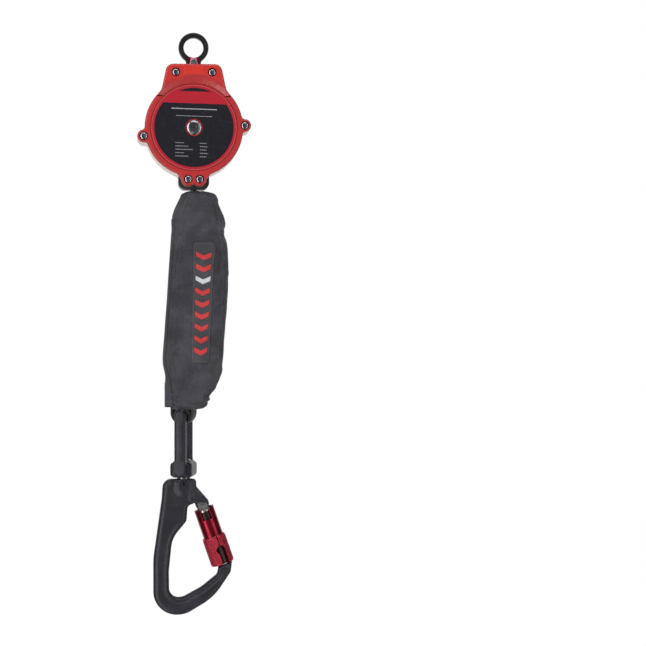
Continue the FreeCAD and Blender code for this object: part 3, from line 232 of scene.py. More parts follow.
def prism(outline: Sequence[Pair], y0: float, y1: float) -> Mesh:
    """Give the points and faces of an outline in the XZ plane drawn out along Y, in millimetres.

    Args:
        outline: X and Z of each corner.
        y0: Where it starts in Y.
        y1: Where it ends in Y.

    Returns:
        The points in metres and the faces.
    """
    n = len(outline)
    points = [Vector((x, y, z)) * MM for y in (y0, y1) for x, z in outline]
    faces: Faces = [tuple(range(n)), tuple(range(2 * n - 1, n - 1, -1))]
    faces += [(k, n + k, n + (k + 1) % n, (k + 1) % n) for k in range(n)]
    return points, faces


def between(table: Sequence[Sequence[float]], place: float) -> list[float]:
    """Read a table at a place, with a smooth course through its rows.

    Args:
        table: Rows whose first value is the place, in falling order.
        place: Where to read.

    Returns:
        The other values of the row at that place.
    """
    if place >= table[0][0]:
        return list(table[0][1:])
    if place <= table[-1][0]:
        return list(table[-1][1:])
    i = next(k for k in range(len(table) - 1) if table[k + 1][0] <= place)
    a, b = table[i], table[i + 1]
    before, after = table[max(i - 1, 0)], table[min(i + 2, len(table) - 1)]
    span = b[0] - a[0]
    t = (place - a[0]) / span
    out = []
    for k in range(1, len(a)):
        slope_a = (b[k] - before[k]) / (b[0] - before[0]) * span
        slope_b = (after[k] - a[k]) / (after[0] - a[0]) * span
        out.append((2 * t ** 3 - 3 * t ** 2 + 1) * a[k] + (t ** 3 - 2 * t ** 2 + t) * slope_a
                   + (-2 * t ** 3 + 3 * t ** 2) * b[k] + (t ** 3 - t ** 2) * slope_b)
    return out


def islands(node: str) -> list[tuple[Vector, Vector]]:
    """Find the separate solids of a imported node.

    Args:
        node: Name of the node.

    Returns:
        The low and high corner of each solid.
    """
    shell = bmesh.new()
    shell.from_mesh(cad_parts[node].data)
    bmesh.ops.remove_doubles(shell, verts=shell.verts, dist=WELD)
    left = set(shell.verts)
    boxes = []
    while left:
        found, queue = set(), [left.pop()]
        while queue:
            v = queue.pop()
            found.add(v)
            for edge in v.link_edges:
                other = edge.other_vert(v)
                if other in left:
                    left.remove(other)
                    queue.append(other)
        spots = [v.co for v in found]
        boxes.append(tuple(Vector([end(p[k] for p in spots) for k in range(3)]) for end in (min, max)))
    shell.free()
    return boxes


# ---------------------------------------------------------------- finishes
class Grain(Enum):
    """Direction in which a metal was brushed or turned, as the stretch of its noise in X, Y and Z."""

    ROUND_Y = (1.0, 14.0, 1.0)
    ROUND_Z = (1.0, 1.0, 14.0)
    FREE = (1.0, 1.0, 1.0)


def operator_for(kind: str) -> Callable[["Value", object], "Value"]:
    """Make an operator of Value that adds a math node of that kind."""
    return lambda value, other: value.graph.math(kind, value, other)


class Value:
    """A number that a material works out: its operators add math nodes, and the bar takes the larger one."""

    __add__, __sub__, __mul__ = operator_for("ADD"), operator_for("SUBTRACT"), operator_for("MULTIPLY")
    __gt__, __lt__, __or__ = operator_for("GREATER_THAN"), operator_for("LESS_THAN"), operator_for("MAXIMUM")

    def __init__(self, graph: "Graph", socket: Socket) -> None:
        """Keep the socket and the graph that it belongs to."""
        self.graph, self.socket = graph, socket

    def __rsub__(self, other: float) -> "Value":
        """Take the value from a number."""
        return self.graph.math("SUBTRACT", other, self)


class Graph:
    """Builds the nodes of one material; every texture is placed by the piece's own coordinates."""

    def __init__(self, name: str) -> None:
        """Start an empty principled material with that name.

        Args:
            name: Name of the material.
        """
        self.material = bpy.data.materials.new(name)
        self.material.use_nodes = True
        self.nodes, self.links = self.material.node_tree.nodes, self.material.node_tree.links
        self.shader = self.nodes["Principled BSDF"]
        self.place = self.nodes.new("ShaderNodeTexCoord").outputs["Object"]
        self.x, self.y, self.z = self.split(self.place)

    def split(self, vector: Socket) -> list[Value]:
        """Give the three parts of a vector.

        Args:
            vector: Socket of the vector.

        Returns:
            Its X, Y and Z.
        """
        node = self.nodes.new("ShaderNodeSeparateXYZ")
        self.feed(node.inputs[0], vector)
        return [Value(self, socket) for socket in node.outputs]

    def feed(self, socket: Socket, value: object) -> None:
        """Set a socket to a number or a colour, or link it to a Value or another socket.

        Args:
            socket: Socket that is set.
            value: Number, colour, Value or socket.
        """
        source = value.socket if isinstance(value, Value) else value
        if isinstance(source, Socket):
            self.links.new(source, socket)
        else:
            socket.default_value = source

    def math(self, kind: str, *values: object) -> Value:
        """Add a math node.

        Args:
            kind: Operation.
            *values: Its numbers or Values.

        Returns:
            The result.
        """
        node = self.nodes.new("ShaderNodeMath")
        node.operation = kind
        for socket, value in zip(node.inputs, values):
            self.feed(socket, value)
        return Value(self, node.outputs[0])

    def largest(self, values: Sequence[Value]) -> Value:
        """Take the largest of several Values.

        Args:
            values: The Values.

        Returns:
            The largest of them.
        """
        found = values[0]
        for value in values[1:]:
            found = found | value
        return found

    def noise(self, size: float, detail: float = 3.0, stretch: Point = (1.0, 1.0, 1.0),
              rough: float = 0.55) -> Value:
        """Add a noise texture.

        Args:
            size: Size of its features in metres.
            detail: Octaves.
            stretch: How many times finer it is along X, Y and Z.
            rough: Strength of the finer octaves.

        Returns:
            The noise from 0 to 1.
        """
        mapping = self.nodes.new("ShaderNodeMapping")
        mapping.inputs["Scale"].default_value = stretch
        self.links.new(self.place, mapping.inputs[0])
        node = self.nodes.new("ShaderNodeTexNoise")
        for key, value in (("Scale", 1 / size), ("Detail", detail), ("Roughness", rough)):
            node.inputs[key].default_value = value
        self.links.new(mapping.outputs[0], node.inputs[0])
        return Value(self, node.outputs[0])

    def ramp(self, value: Value, low: float, high: float, out_low: float = 0.0,
             out_high: float = 1.0) -> Value:
        """Map a span of values onto another one, softly.

        Args:
            value: Value to read.
            low: Start of the span.
            high: End of the span.
            out_low: Result at the start.
            out_high: Result at the end.

        Returns:
            The mapped value, kept inside the new span.
        """
        node = self.nodes.new("ShaderNodeMapRange")
        node.interpolation_type = "SMOOTHSTEP"
        for socket, number in zip(node.inputs, (value, low, high, out_low, out_high)):
            self.feed(socket, number)
        return Value(self, node.outputs[0])

    def mix(self, share: Value, a: object, b: object) -> Socket:
        """Mix two colours.

        Args:
            share: Share of the second colour.
            a: First colour or its socket.
            b: Second colour or its socket.

        Returns:
            The mixed colour's socket.
        """
        node = self.nodes.new("ShaderNodeMix")
        node.data_type = "RGBA"
        for key, value in (("Factor", share), (6, a), (7, b)):
            self.feed(node.inputs[key], value)
        return node.outputs[2]

    def from_axis(self, x: float, z: float) -> Value:
        """Give the distance from an axis that runs from front to back."""
        right, up = self.x - x, self.z - z
        return self.math("SQRT", right * right + up * up)

    def in_gate(self) -> tuple[Value, Value]:
        """Give the distance across the gate's axis, and the distance down it.

        Returns:
            Both distances in metres.
        """
        right, up = self.x - GATE_TOP[0] * MM, self.z - GATE_TOP[1] * MM
        cos, sin = math.cos(GATE_TILT), math.sin(GATE_TILT)
        return right * cos + up * sin, right * sin - up * cos

    def bump(self, height: Value, distance: float, strength: float = 1.0,
             below: Socket | None = None) -> Socket:
        """Add a bump and wire it to the shader's normal.

        Args:
            height: Height from 0 to 1.
            distance: Height of 1 in metres.
            strength: Strength of the effect.
            below: Normal of a coarser bump under this one.

        Returns:
            The new normal's socket.
        """
        node = self.nodes.new("ShaderNodeBump")
        for key, value in (("Strength", strength), ("Distance", distance), ("Height", height)):
            self.feed(node.inputs[key], value)
        if below is not None:
            self.links.new(below, node.inputs["Normal"])
        self.links.new(node.outputs[0], self.shader.inputs["Normal"])
        return node.outputs[0]

    def paint(self, colour: object, rough: object, **constants: float) -> bpy.types.Material:
        """Wire the colour and roughness, and set the shader's constant sockets.

        Args:
            colour: Base colour or its socket.
            rough: Roughness, as a number or a Value.
            **constants: Other inputs of the shader, with spaces written as underscores.

        Returns:
            The finished material.
        """
        self.feed(self.shader.inputs["Base Color"], colour)
        self.feed(self.shader.inputs["Roughness"], rough)
        for key, value in constants.items():
            self.shader.inputs[key.replace("_", " ")].default_value = value
        return self.material


@dataclass(frozen=True)
class Moulded:
    """Moulded plastic: spark-eroded grain, faint flow shading, handling marks and painted shade in the screw
    wells.
    """

    name: str
    colour: Colour
    deep: Colour
    rough: float = 0.38
    grain: float = 0.35
    wells: tuple[Pair, ...] = ()
    well_r: float = 0.0045
    # colour and share of the painted shade in the screw wells
    well_shade: Colour = tone(52, 18, 20)
    well_share: float = 0.85
    cloud: float = 0.035

    def make(self) -> bpy.types.Material:
        """Build the material.

        Returns:
            The material.
        """
        g = Graph(self.name)
        cloud = g.noise(self.cloud, 2.0)
        marks = g.noise(0.004, 4.0, (1.0, 1.0, 6.0), 0.7)
        colour, rough = self.shade(g, cloud, marks)
        # painted shade: the colour darkens inside each screw's well, where the gap's shadow falls
        if self.wells:
            spots = g.largest([g.from_axis(x, z) < self.well_r for x, z in self.wells])
            colour = g.mix(spots * self.well_share, colour, self.well_shade)
        g.bump(g.noise(0.0006, 2.0), 0.00004, self.grain, g.bump(cloud, 0.0002, 0.25))
        return g.paint(colour, rough, Specular_IOR_Level=0.5, Coat_Weight=0.12, Coat_Roughness=0.25)

    def shade(self, g: Graph, cloud: Value, marks: Value) -> tuple[Socket, Value]:
        """Work out the colour outside the wells and the roughness.

        Args:
            g: The material's graph.
            cloud: Slow flow noise.
            marks: Noise of the handling marks.

        Returns:
            The colour and the roughness.
        """
        colour = g.mix(g.ramp(cloud, 0.35, 0.65, 0.0, 0.55), self.colour, self.deep)
        plain = g.ramp(cloud, 0.3, 0.7, self.rough, self.rough + 0.05)
        return colour, g.ramp(marks, 0.45, 0.75, 0.0, 0.14) + plain


@dataclass(frozen=True)
class CapFinish(Moulded):
    """The cap's moulded plastic: a painted highlight on its bulge, which faces the lights, and painted shade in
    the deep colour on the ramp round the lid, which faces down.
    """

    cloud: float = 0.03
    # colour of the painted highlight on the bulge
    lit_bulge: Colour = tone(216, 54, 36)
    hub: Pair = (0.0, 0.0)
    ramp_r: float = 0.0549
    bulge_front: float = -0.0263

    def shade(self, g: Graph, cloud: Value, marks: Value) -> tuple[Socket, Value]:
        """Work out the colour outside the wells and the roughness.

        Args:
            g: The material's graph.
            cloud: Slow flow noise.
            marks: Noise of the handling marks.

        Returns:
            The colour and the roughness.
        """
        # painted shade: the ramp round the lid takes the deep colour; painted highlight: the bulge in front of
        # it takes the lit colour
        shaded_ramp = g.from_axis(*self.hub) < self.ramp_r
        bulge = (g.y < self.bulge_front) * (1.0 - shaded_ramp)
        lit_and_shaded = g.mix(shaded_ramp, g.mix(bulge * 0.55, self.colour, self.lit_bulge), self.deep)
        colour = g.mix(g.ramp(cloud, 0.35, 0.7, 0.0, 0.25), lit_and_shaded, self.deep)
        return colour, g.ramp(marks, 0.45, 0.75, 0.34, 0.46) + shaded_ramp * 0.05


@dataclass(frozen=True)
class Metal:
    """Turned or brushed bare metal with fine lines and a few dull patches."""

    name: str
    colour: Colour
    rough: float = 0.24
    grain: Grain = Grain.FREE
    dull: float = 0.18

    def make(self) -> bpy.types.Material:
        """Build the material.

        Returns:
            The material.
        """
        g = Graph(self.name)
        lines = g.noise(0.0011, 3.0, self.grain.value, 0.7)
        patch = g.noise(0.006, 3.0)
        shade = (*(c * 0.72 for c in self.colour[:3]), 1.0)
        colour = g.mix(g.ramp(patch, 0.4, 0.72, 0.0, 0.35), self.colour, shade)
        rough = g.ramp(lines, 0.3, 0.7, self.rough, self.rough + 0.08)
        g.bump(lines, 0.00001, 0.25)
        return g.paint(colour, rough + g.ramp(patch, 0.45, 0.75, 0.0, self.dull), Metallic=1.0)


@dataclass(frozen=True)
class Anodised:
    """Dyed anodised aluminium, turned, with a satin sheen."""

    name: str
    colour: Colour
    deep: Colour
    rough: float = 0.3

    def make(self) -> bpy.types.Material:
        """Build the material.

        Returns:
            The material.
        """
        g = Graph(self.name)
        lines = g.noise(0.0012, 3.0, Grain.ROUND_Z.value, 0.65)
        colour = g.mix(g.ramp(g.noise(0.02, 2.0), 0.3, 0.75), self.colour, self.deep)
        g.bump(lines, 0.00001, 0.2)
        return g.paint(colour, g.ramp(lines, 0.3, 0.7, self.rough, self.rough + 0.05), Metallic=0.85)


@dataclass(frozen=True)
class GateFinish:
    """The gate's dark bar with a bright steel hinge end, split across its own axis."""

    name: str
    dark: Colour
    bright: Colour
    until: float = 0.0038

    def make(self) -> bpy.types.Material:
        """Build the material.

        Returns:
            The material.
        """
        g = Graph(self.name)
        lower = g.in_gate()[1] > self.until
        lines = g.noise(0.0014, 3.0, (1.0, 1.0, 5.0), 0.6)
        dirt = g.noise(0.004, 4.0, rough=0.7)
        shade = g.mix(lower, self.bright, self.dark)
        colour = g.mix(g.ramp(dirt, 0.5, 0.75, 0.0, 0.35), shade, tone(30, 26, 26))
        g.bump(lines, 0.00002, 0.3)
        return g.paint(colour, g.ramp(lines, 0.3, 0.7, 0.26, 0.34) + lower * 0.1, Metallic=0.9)


@dataclass(frozen=True)
class Forged:
    """Dark coated forging: fine orange peel, rubbed patches, small handling nicks, and pale ridges that are
    partly worn bare and partly a painted highlight.
    """

    name: str
    colour: Colour
    rubbed: Colour
    metallic: float = 0.55
    rough: float = 0.36
    edges: float = 0.0
    specular: float = 0.6

    def make(self) -> bpy.types.Material:
        """Build the material.

        Returns:
            The material.
        """
        g = Graph(self.name)
        peel = g.noise(0.0016, 3.0, rough=0.5)
        cloud = g.noise(0.018, 3.0)
        nicks = g.noise(0.0035, 5.0, rough=0.75)
        colour = g.mix(g.ramp(cloud, 0.38, 0.72, 0.0, 0.8), self.colour, self.rubbed)
        # pale ridges: partly paint worn to bare metal, partly a painted highlight where the edges catch the
        # bright surroundings
        if self.edges:
            ridge = Value(g, g.nodes.new("ShaderNodeNewGeometry").outputs["Pointiness"])
            worn_and_glinting = g.ramp(ridge, 0.53, 0.6) * g.ramp(nicks, 0.3, 0.6, 0.5, 1.0)
            colour = g.mix(worn_and_glinting * self.edges, colour, tone(150, 147, 158))
        rough = g.ramp(cloud, 0.3, 0.7, self.rough, self.rough + 0.06) + g.ramp(nicks, 0.56, 0.75, 0.0, 0.16)
        g.bump(peel, 0.00003, 0.15, g.bump(nicks, 0.00003, 0.1))
        return g.paint(colour, rough, Metallic=self.metallic, Specular_IOR_Level=self.specular)


@dataclass(frozen=True)
class Cloth:
    """Plain or ribbed weave: crossing threads, uneven dye, a painted highlight on the threads' high spots and a
    soft sheen.
    """

    name: str
    colour: Colour
    pale: Colour
    thread: float = 0.0007
    depth: float = 0.00022
    twill: bool = False

    def make(self) -> bpy.types.Material:
        """Build the material.

        Returns:
            The material.
        """
        g = Graph(self.name)
        turn = g.nodes.new("ShaderNodeVectorTransform")
        turn.vector_type, turn.convert_from, turn.convert_to = "NORMAL", "WORLD", "OBJECT"
        g.links.new(g.nodes.new("ShaderNodeNewGeometry").outputs["Normal"], turn.inputs[0])
        facing_x, facing_y, _ = g.split(turn.outputs[0])
        sideways = g.math("ABSOLUTE", facing_x) > g.math("ABSOLUTE", facing_y)
        across = g.x * (1.0 - sideways) + g.y * sideways
        along, over = g.z * (math.pi / self.thread), across * (math.pi / self.thread)
        if self.twill:
            weft = g.math("SINE", over * 2.0)
            weave = (g.math("SINE", along + over) + weft * 0.5) * 0.33
        else:
            weave = g.math("SINE", along) * g.math("SINE", over) * 0.5
        weave = g.math("ADD", weave, 0.5)
        cloud = g.noise(0.022, 4.0)
        slub = g.noise(0.0016, 3.0, (1.0, 1.0, 2.0))
        # the weave's height paints the threads' high spots lighter, a painted highlight; the cloud and the
        # slubs are uneven dye
        share = g.ramp(cloud, 0.35, 0.7, 0.0, 0.45) + weave * 0.22 + g.ramp(slub, 0.4, 0.66, 0.0, 0.35)
        threads = g.bump(weave, self.depth, 0.8, g.bump(cloud, 0.0016, 0.4))
        g.bump(g.noise(0.0005, 2.0), 0.00008, 0.35, threads)
        return g.paint(g.mix(share, self.colour, self.pale), 0.88,
                       Sheen_Weight=0.2, Sheen_Roughness=0.55, Specular_IOR_Level=0.25)


@dataclass(frozen=True)
class PrintedDisc:
    """Printed film: a black field, a crimson edge ring and band, fine grey ruled lines, and a painted highlight
    along the rim.
    """

    name: str
    centre: Point
    field_r: float = 0.0411
    # radius and half width of the painted highlight along the rim
    edge_r: float = 0.0438
    edge_half: float = 0.00022
    band: Pair = (0.0250, 0.0374)
    lean: float = math.radians(1.5)
    rules: tuple[Point, ...] = ((0.0192, 0.0235, 0.00045), (0.0118, 0.0185, 0.0002))
    rows: int = 5
    row_top: float = -0.0162
    row_pitch: float = 0.00346
    row_half: float = 0.00042
    left_edge: float = -0.0192
    right_edge: float = 0.006
    dash: Pair = (0.0021, 0.0006)

    def make(self) -> bpy.types.Material:
        """Build the material.

        Returns:
            The material.
        """
        g = Graph(self.name)
        right, up = g.x - self.centre[0], g.z - self.centre[2]
        radius = g.math("SQRT", right * right + up * up)
        level = up + right * math.tan(self.lean)
        red = (radius > self.field_r) | (level > self.band[0]) * (level < self.band[1])
        scuff = g.noise(0.003, 5.0, rough=0.7)
        black = g.mix(g.ramp(scuff, 0.5, 0.8, 0.0, 0.5), tone(27, 27, 34), tone(46, 46, 54))
        crimson = g.mix(g.ramp(scuff, 0.5, 0.8, 0.0, 0.4), tone(176, 34, 48), tone(152, 30, 42))
        # painted highlight: a pale line just inside the rim, where light catches the film's edge
        trim = g.math("COMPARE", radius, self.edge_r, self.edge_half) * 0.6
        plain = g.mix(trim, g.mix(red, black, crimson), tone(214, 128, 128))
        colour = g.mix(self.lines(g, right, level), plain, tone(168, 168, 174))
        g.bump(scuff, 0.00002, 0.3)
        return g.paint(colour, g.ramp(scuff, 0.4, 0.8, 0.36, 0.52), Specular_IOR_Level=0.3)

    def lines(self, g: Graph, right: Value, level: Value) -> Value:
        """Draw two plain rules over the hub, and two columns of short blank dashes under it.

        Args:
            g: The material's graph.
            right: Distance to the right of the hub.
            level: Height over the hub.

        Returns:
            1 on a line and 0 elsewhere.
        """
        marks = [g.math("COMPARE", level, height, half_wide) * g.math("COMPARE", right, 0.0, half_long)
                 for height, half_long, half_wide in self.rules]
        for k in range(self.rows):
            row = g.math("COMPARE", level, self.row_top - self.row_pitch * k, self.row_half)
            left_half, right_half = 0.0022 * (2 + k % 3), 0.0034 + 0.0008 * (k % 2)
            left = g.math("COMPARE", right, self.left_edge + left_half, left_half)
            other = g.math("COMPARE", right, self.right_edge + right_half, right_half)
            gaps = g.math("MODULO", right + 0.1, self.dash[0]) > self.dash[1]
            marks.append(row * ((left | other) * gaps) * 0.75)
        return g.largest(marks)


@dataclass(frozen=True)
class KnurlFinish:
    """Anodised knurl: a painted highlight on the diamonds' crests and painted shade in the grooves between
    them.
    """

    name: str
    lit_crest: Colour
    shaded_groove: Colour
    sleeve: "KnurledSleeve"

    def make(self) -> bpy.types.Material:
        """Build the material.

        Returns:
            The material.
        """
        k, g = self.sleeve, Graph(self.name)
        across, down = g.in_gate()
        around = g.math("ARCTAN2", g.y, across) * (k.teeth / (2 * math.pi))
        steps = down * (1 / (k.rise * MM))
        one, two = g.math("PINGPONG", around + steps, 0.5), g.math("PINGPONG", around - steps, 0.5)
        plain = (down < (k.start + k.rim) * MM) | (down > (k.end - k.rim) * MM)
        # painted highlight on the diamonds' crests and on the plain ends, painted shade in the grooves
        share = g.ramp(one * 1.4 + two * 0.6, 0.25, 0.75) | plain * 0.8
        worn = g.noise(0.006, 3.0)
        colour = g.mix(g.ramp(worn, 0.4, 0.75, 0.0, 0.25), g.mix(share, self.shaded_groove, self.lit_crest), self.shaded_groove)
        g.bump(g.noise(0.0006, 2.0), 0.00001, 0.2)
        return g.paint(colour, g.ramp(worn, 0.3, 0.7, 0.42, 0.5), Metallic=0.6)


# ---------------------------------------------------------------- soft goods
@dataclass(frozen=True)
class Crease:
    """A sewn channel or fold on the bag: its course in X and Z, its width and its depth, in millimetres."""

    course: tuple[Pair, ...]
    width: float
    depth: float
    front: bool = True
    both: bool = False

    def off(self, x: float, z: float) -> float:
        """Give the shortest distance of a place from the course.

        Args:
            x: Place in X.
            z: Place in Z.

        Returns:
            The distance.
        """
        best = math.inf
        for (ax, az), (bx, bz) in zip(self.course, self.course[1:]):
            dx, dz = bx - ax, bz - az
            t = min(1.0, max(0.0, ((x - ax) * dx + (z - az) * dz) / (dx * dx + dz * dz)))
            best = min(best, math.hypot(x - ax - t * dx, z - az - t * dz))
        return best


def settle(piece: Piece, held: Callable[[Vector], float], pressure: float, grow: float, cap: float) -> None:
    """Let a skin swell and wrinkle as cloth, and keep the result in its mesh.

    Args:
        piece: The closed skin.
        held: Share from 0 to 1 by which a point is held in place.
        pressure: Inner pressure.
        grow: Share by which the cloth is cut larger than the skin.
        cap: Largest movement of a point, in metres.
    """
    group = piece.vertex_groups.new(name="held")
    start = [v.co.copy() for v in piece.data.vertices]
    for i, p in enumerate(start):
        group.add([i], held(p), "REPLACE")
    cloth = piece.modifiers.new("cloth", "CLOTH")
    s = cloth.settings
    s.vertex_group_mass, s.quality, s.mass = "held", 4, 0.15
    s.tension_stiffness = s.compression_stiffness = 12.0
    s.shear_stiffness, s.bending_stiffness, s.air_damping = 4.0, 0.4, 2.0
    s.use_pressure, s.uniform_pressure_force, s.shrink_min = True, pressure, -grow
    s.effector_weights.gravity = 0.0
    cloth.collision_settings.use_collision = False
    scene = bpy.context.scene
    for step in range(1, 21):
        scene.frame_set(step)
    moved = piece.evaluated_get(bpy.context.evaluated_depsgraph_get()).to_mesh()
    for v, p in zip(moved.vertices, start):
        shift = v.co - p
        p += shift if shift.length <= cap else shift.normalized() * cap
    piece.modifiers.remove(cloth)
    piece.vertex_groups.remove(group)
    for v, p in zip(piece.data.vertices, start):
        v.co = p
    piece.data.update()
    scene.frame_set(1)


def thicken(piece: Piece, thick: float) -> None:
    """Give a sheet a thickness inwards and apply it.

    Args:
        piece: The sheet.
        thick: Thickness in metres.
    """
    sheet = piece.modifiers.new("thick", "SOLIDIFY")
    sheet.thickness, sheet.offset = thick, -1.0
    apply_modifiers(piece)


class Surface:
    """A skin that trim is laid on, read from the front."""

    def __init__(self, piece: Piece) -> None:
        """Keep a tree of the skin's faces."""
        corners = [v.co for v in piece.data.vertices]
        self.tree = BVHTree.FromPolygons(corners, [p.vertices for p in piece.data.polygons])

    def hit(self, x: float, z: float) -> tuple[Vector, Vector]:
        """Find the front of the skin at an X and Z in millimetres.

        Args:
            x: Place in X.
            z: Place in Z.

        Returns:
            The point in metres and the outward normal.
        """
        spot, normal, _, _ = self.tree.ray_cast(Vector((x * MM, -0.2, z * MM)), Vector((0, 1, 0)))
        if spot is None:
            spot, normal, _, _ = self.tree.find_nearest(Vector((x * MM, -0.01, z * MM)))
        return spot, normal if normal.y < 0 else -normal

    def at(self, x: float, z: float, lift: float) -> Vector:
        """Give the point that lies a lift in millimetres over the front of the skin."""
        spot, normal = self.hit(x, z)
        return spot + normal * lift * MM

    def sew(self, row: Sequence[Pair], pitch: float, lift: float = 0.1) -> list[Stitch]:
        """Space stitches along a course.

        Args:
            row: Course in X and Z, in millimetres.
            pitch: Distance from stitch to stitch, in millimetres.
            lift: Height over the skin, in millimetres.

        Returns:
            The middle, the direction and the normal of each stitch.
        """
        out, carry, reach = [], 0.0, 0.8
        for (ax, az), (bx, bz) in zip(row, row[1:]):
            length = math.dist((ax, az), (bx, bz))
            dx, dz = (bx - ax) / length, (bz - az) / length
            while carry < length:
                x, z = ax + dx * carry, az + dz * carry
                spot, normal = self.hit(x, z)
                ahead, _ = self.hit(x + dx * reach, z + dz * reach)
                out.append((spot + normal * lift * MM, (ahead - spot).normalized(), normal))
                carry += pitch
            carry -= length
        return out


def stitches(name: str, places: Sequence[Stitch], length: float, r: float) -> Piece:
    """Build one mesh of many short rounded threads.

    Args:
        name: Name of the piece.
        places: Middle, direction and normal of each stitch.
        length: Length of a stitch.
        r: Radius of the thread.

    Returns:
        The piece.
    """
    sides = 6
    # place along the stitch, share of the radius and lift, for each ring
    form = ((-0.5, 0.35, -0.8), (-0.3, 0.95, 0.1), (0.0, 1.0, 0.35), (0.3, 0.95, 0.1), (0.5, 0.35, -0.8))
    ends = range(sides - 1, -1, -1), range((len(form) - 1) * sides, len(form) * sides)
    faces = ring_faces(len(form), sides) + [tuple(end) for end in ends]
    mesh: Mesh = ([], [])
    for middle, ahead, normal in places:
        side = normal.cross(ahead).normalized()
        points = [middle + ahead * length * place + side * math.cos(a) * r * share
                  + normal * (math.sin(a) * r * share + sink * r)
                  for place, share, sink in form for a in circle(sides)]
        add_mesh(mesh, (points, faces))
    return smooth_mesh(name, *mesh)


def heading(course: Sequence[Vector], i: int) -> Vector:
    """Give the direction of a course at one of its points."""
    return (course[min(i + 1, len(course) - 1)] - course[max(i - 1, 0)]).normalized()


def ribbon(name: str, one: Sequence[Vector], other: Sequence[Vector], thick: float, columns: int,
           bulge: float = 0.0) -> Piece:
    """Build a flat band between two edges, with rounded sides.

    Args:
        name: Name of the piece.
        one: Points of the first edge.
        other: Points of the second edge.
        thick: Thickness of the band.
        columns: Divisions across it.
        bulge: Height of its crown.

    Returns:
        The piece.
    """
    rows = []
    for i, (a, b) in enumerate(zip(one, other)):
        across = b - a
        normal = heading(one, i).cross(across).normalized()
        if normal.y > 0:
            normal = -normal
        ring = []
        for side, order in ((1, range(columns + 1)), (-1, range(columns, -1, -1))):
            for c in order:
                crown = bulge * math.sin(math.pi * c / columns)
                half = thick / 2 * (1 if 0 < c < columns else 0.45)
                ring.append(a + across * (c / columns) + normal * (crown + side * half))
        rows.append(ring)
    return smooth_mesh(name, *lathe_rows(rows))


def strap(name: str, course: Sequence[Vector], across: Vector, width: float, thick: float, edge: int = 4,
          flat: int = 8) -> Piece:
    """Build webbing along a course, with rolled selvedges.

    Args:
        name: Name of the piece.
        course: Middle line, finely divided.
        across: Direction of its width.
        width: Width.
        thick: Thickness.
        edge: Divisions of each selvedge.
        flat: Divisions of each face.

    Returns:
        The piece.
    """
    rows = []
    half, r = width / 2, thick / 2
    for i, p in enumerate(course):
        out = across.cross(heading(course, i)).normalized()
        ring = []
        for sign in (1, -1):
            for wide, deep in arc(r, sweep(-math.pi / 2, math.pi / 2, edge)):
                ring.append(p + across * sign * (half - r + wide) + out * sign * deep)
            for k in range(1, flat):
                wave = 1 + 0.05 * math.sin(k * 2.1)
                ring.append(p + across * sign * (half - r) * (1 - 2 * k / flat) + out * sign * r * wave)
        rows.append(ring)
    return smooth_mesh(name, *lathe_rows(rows))


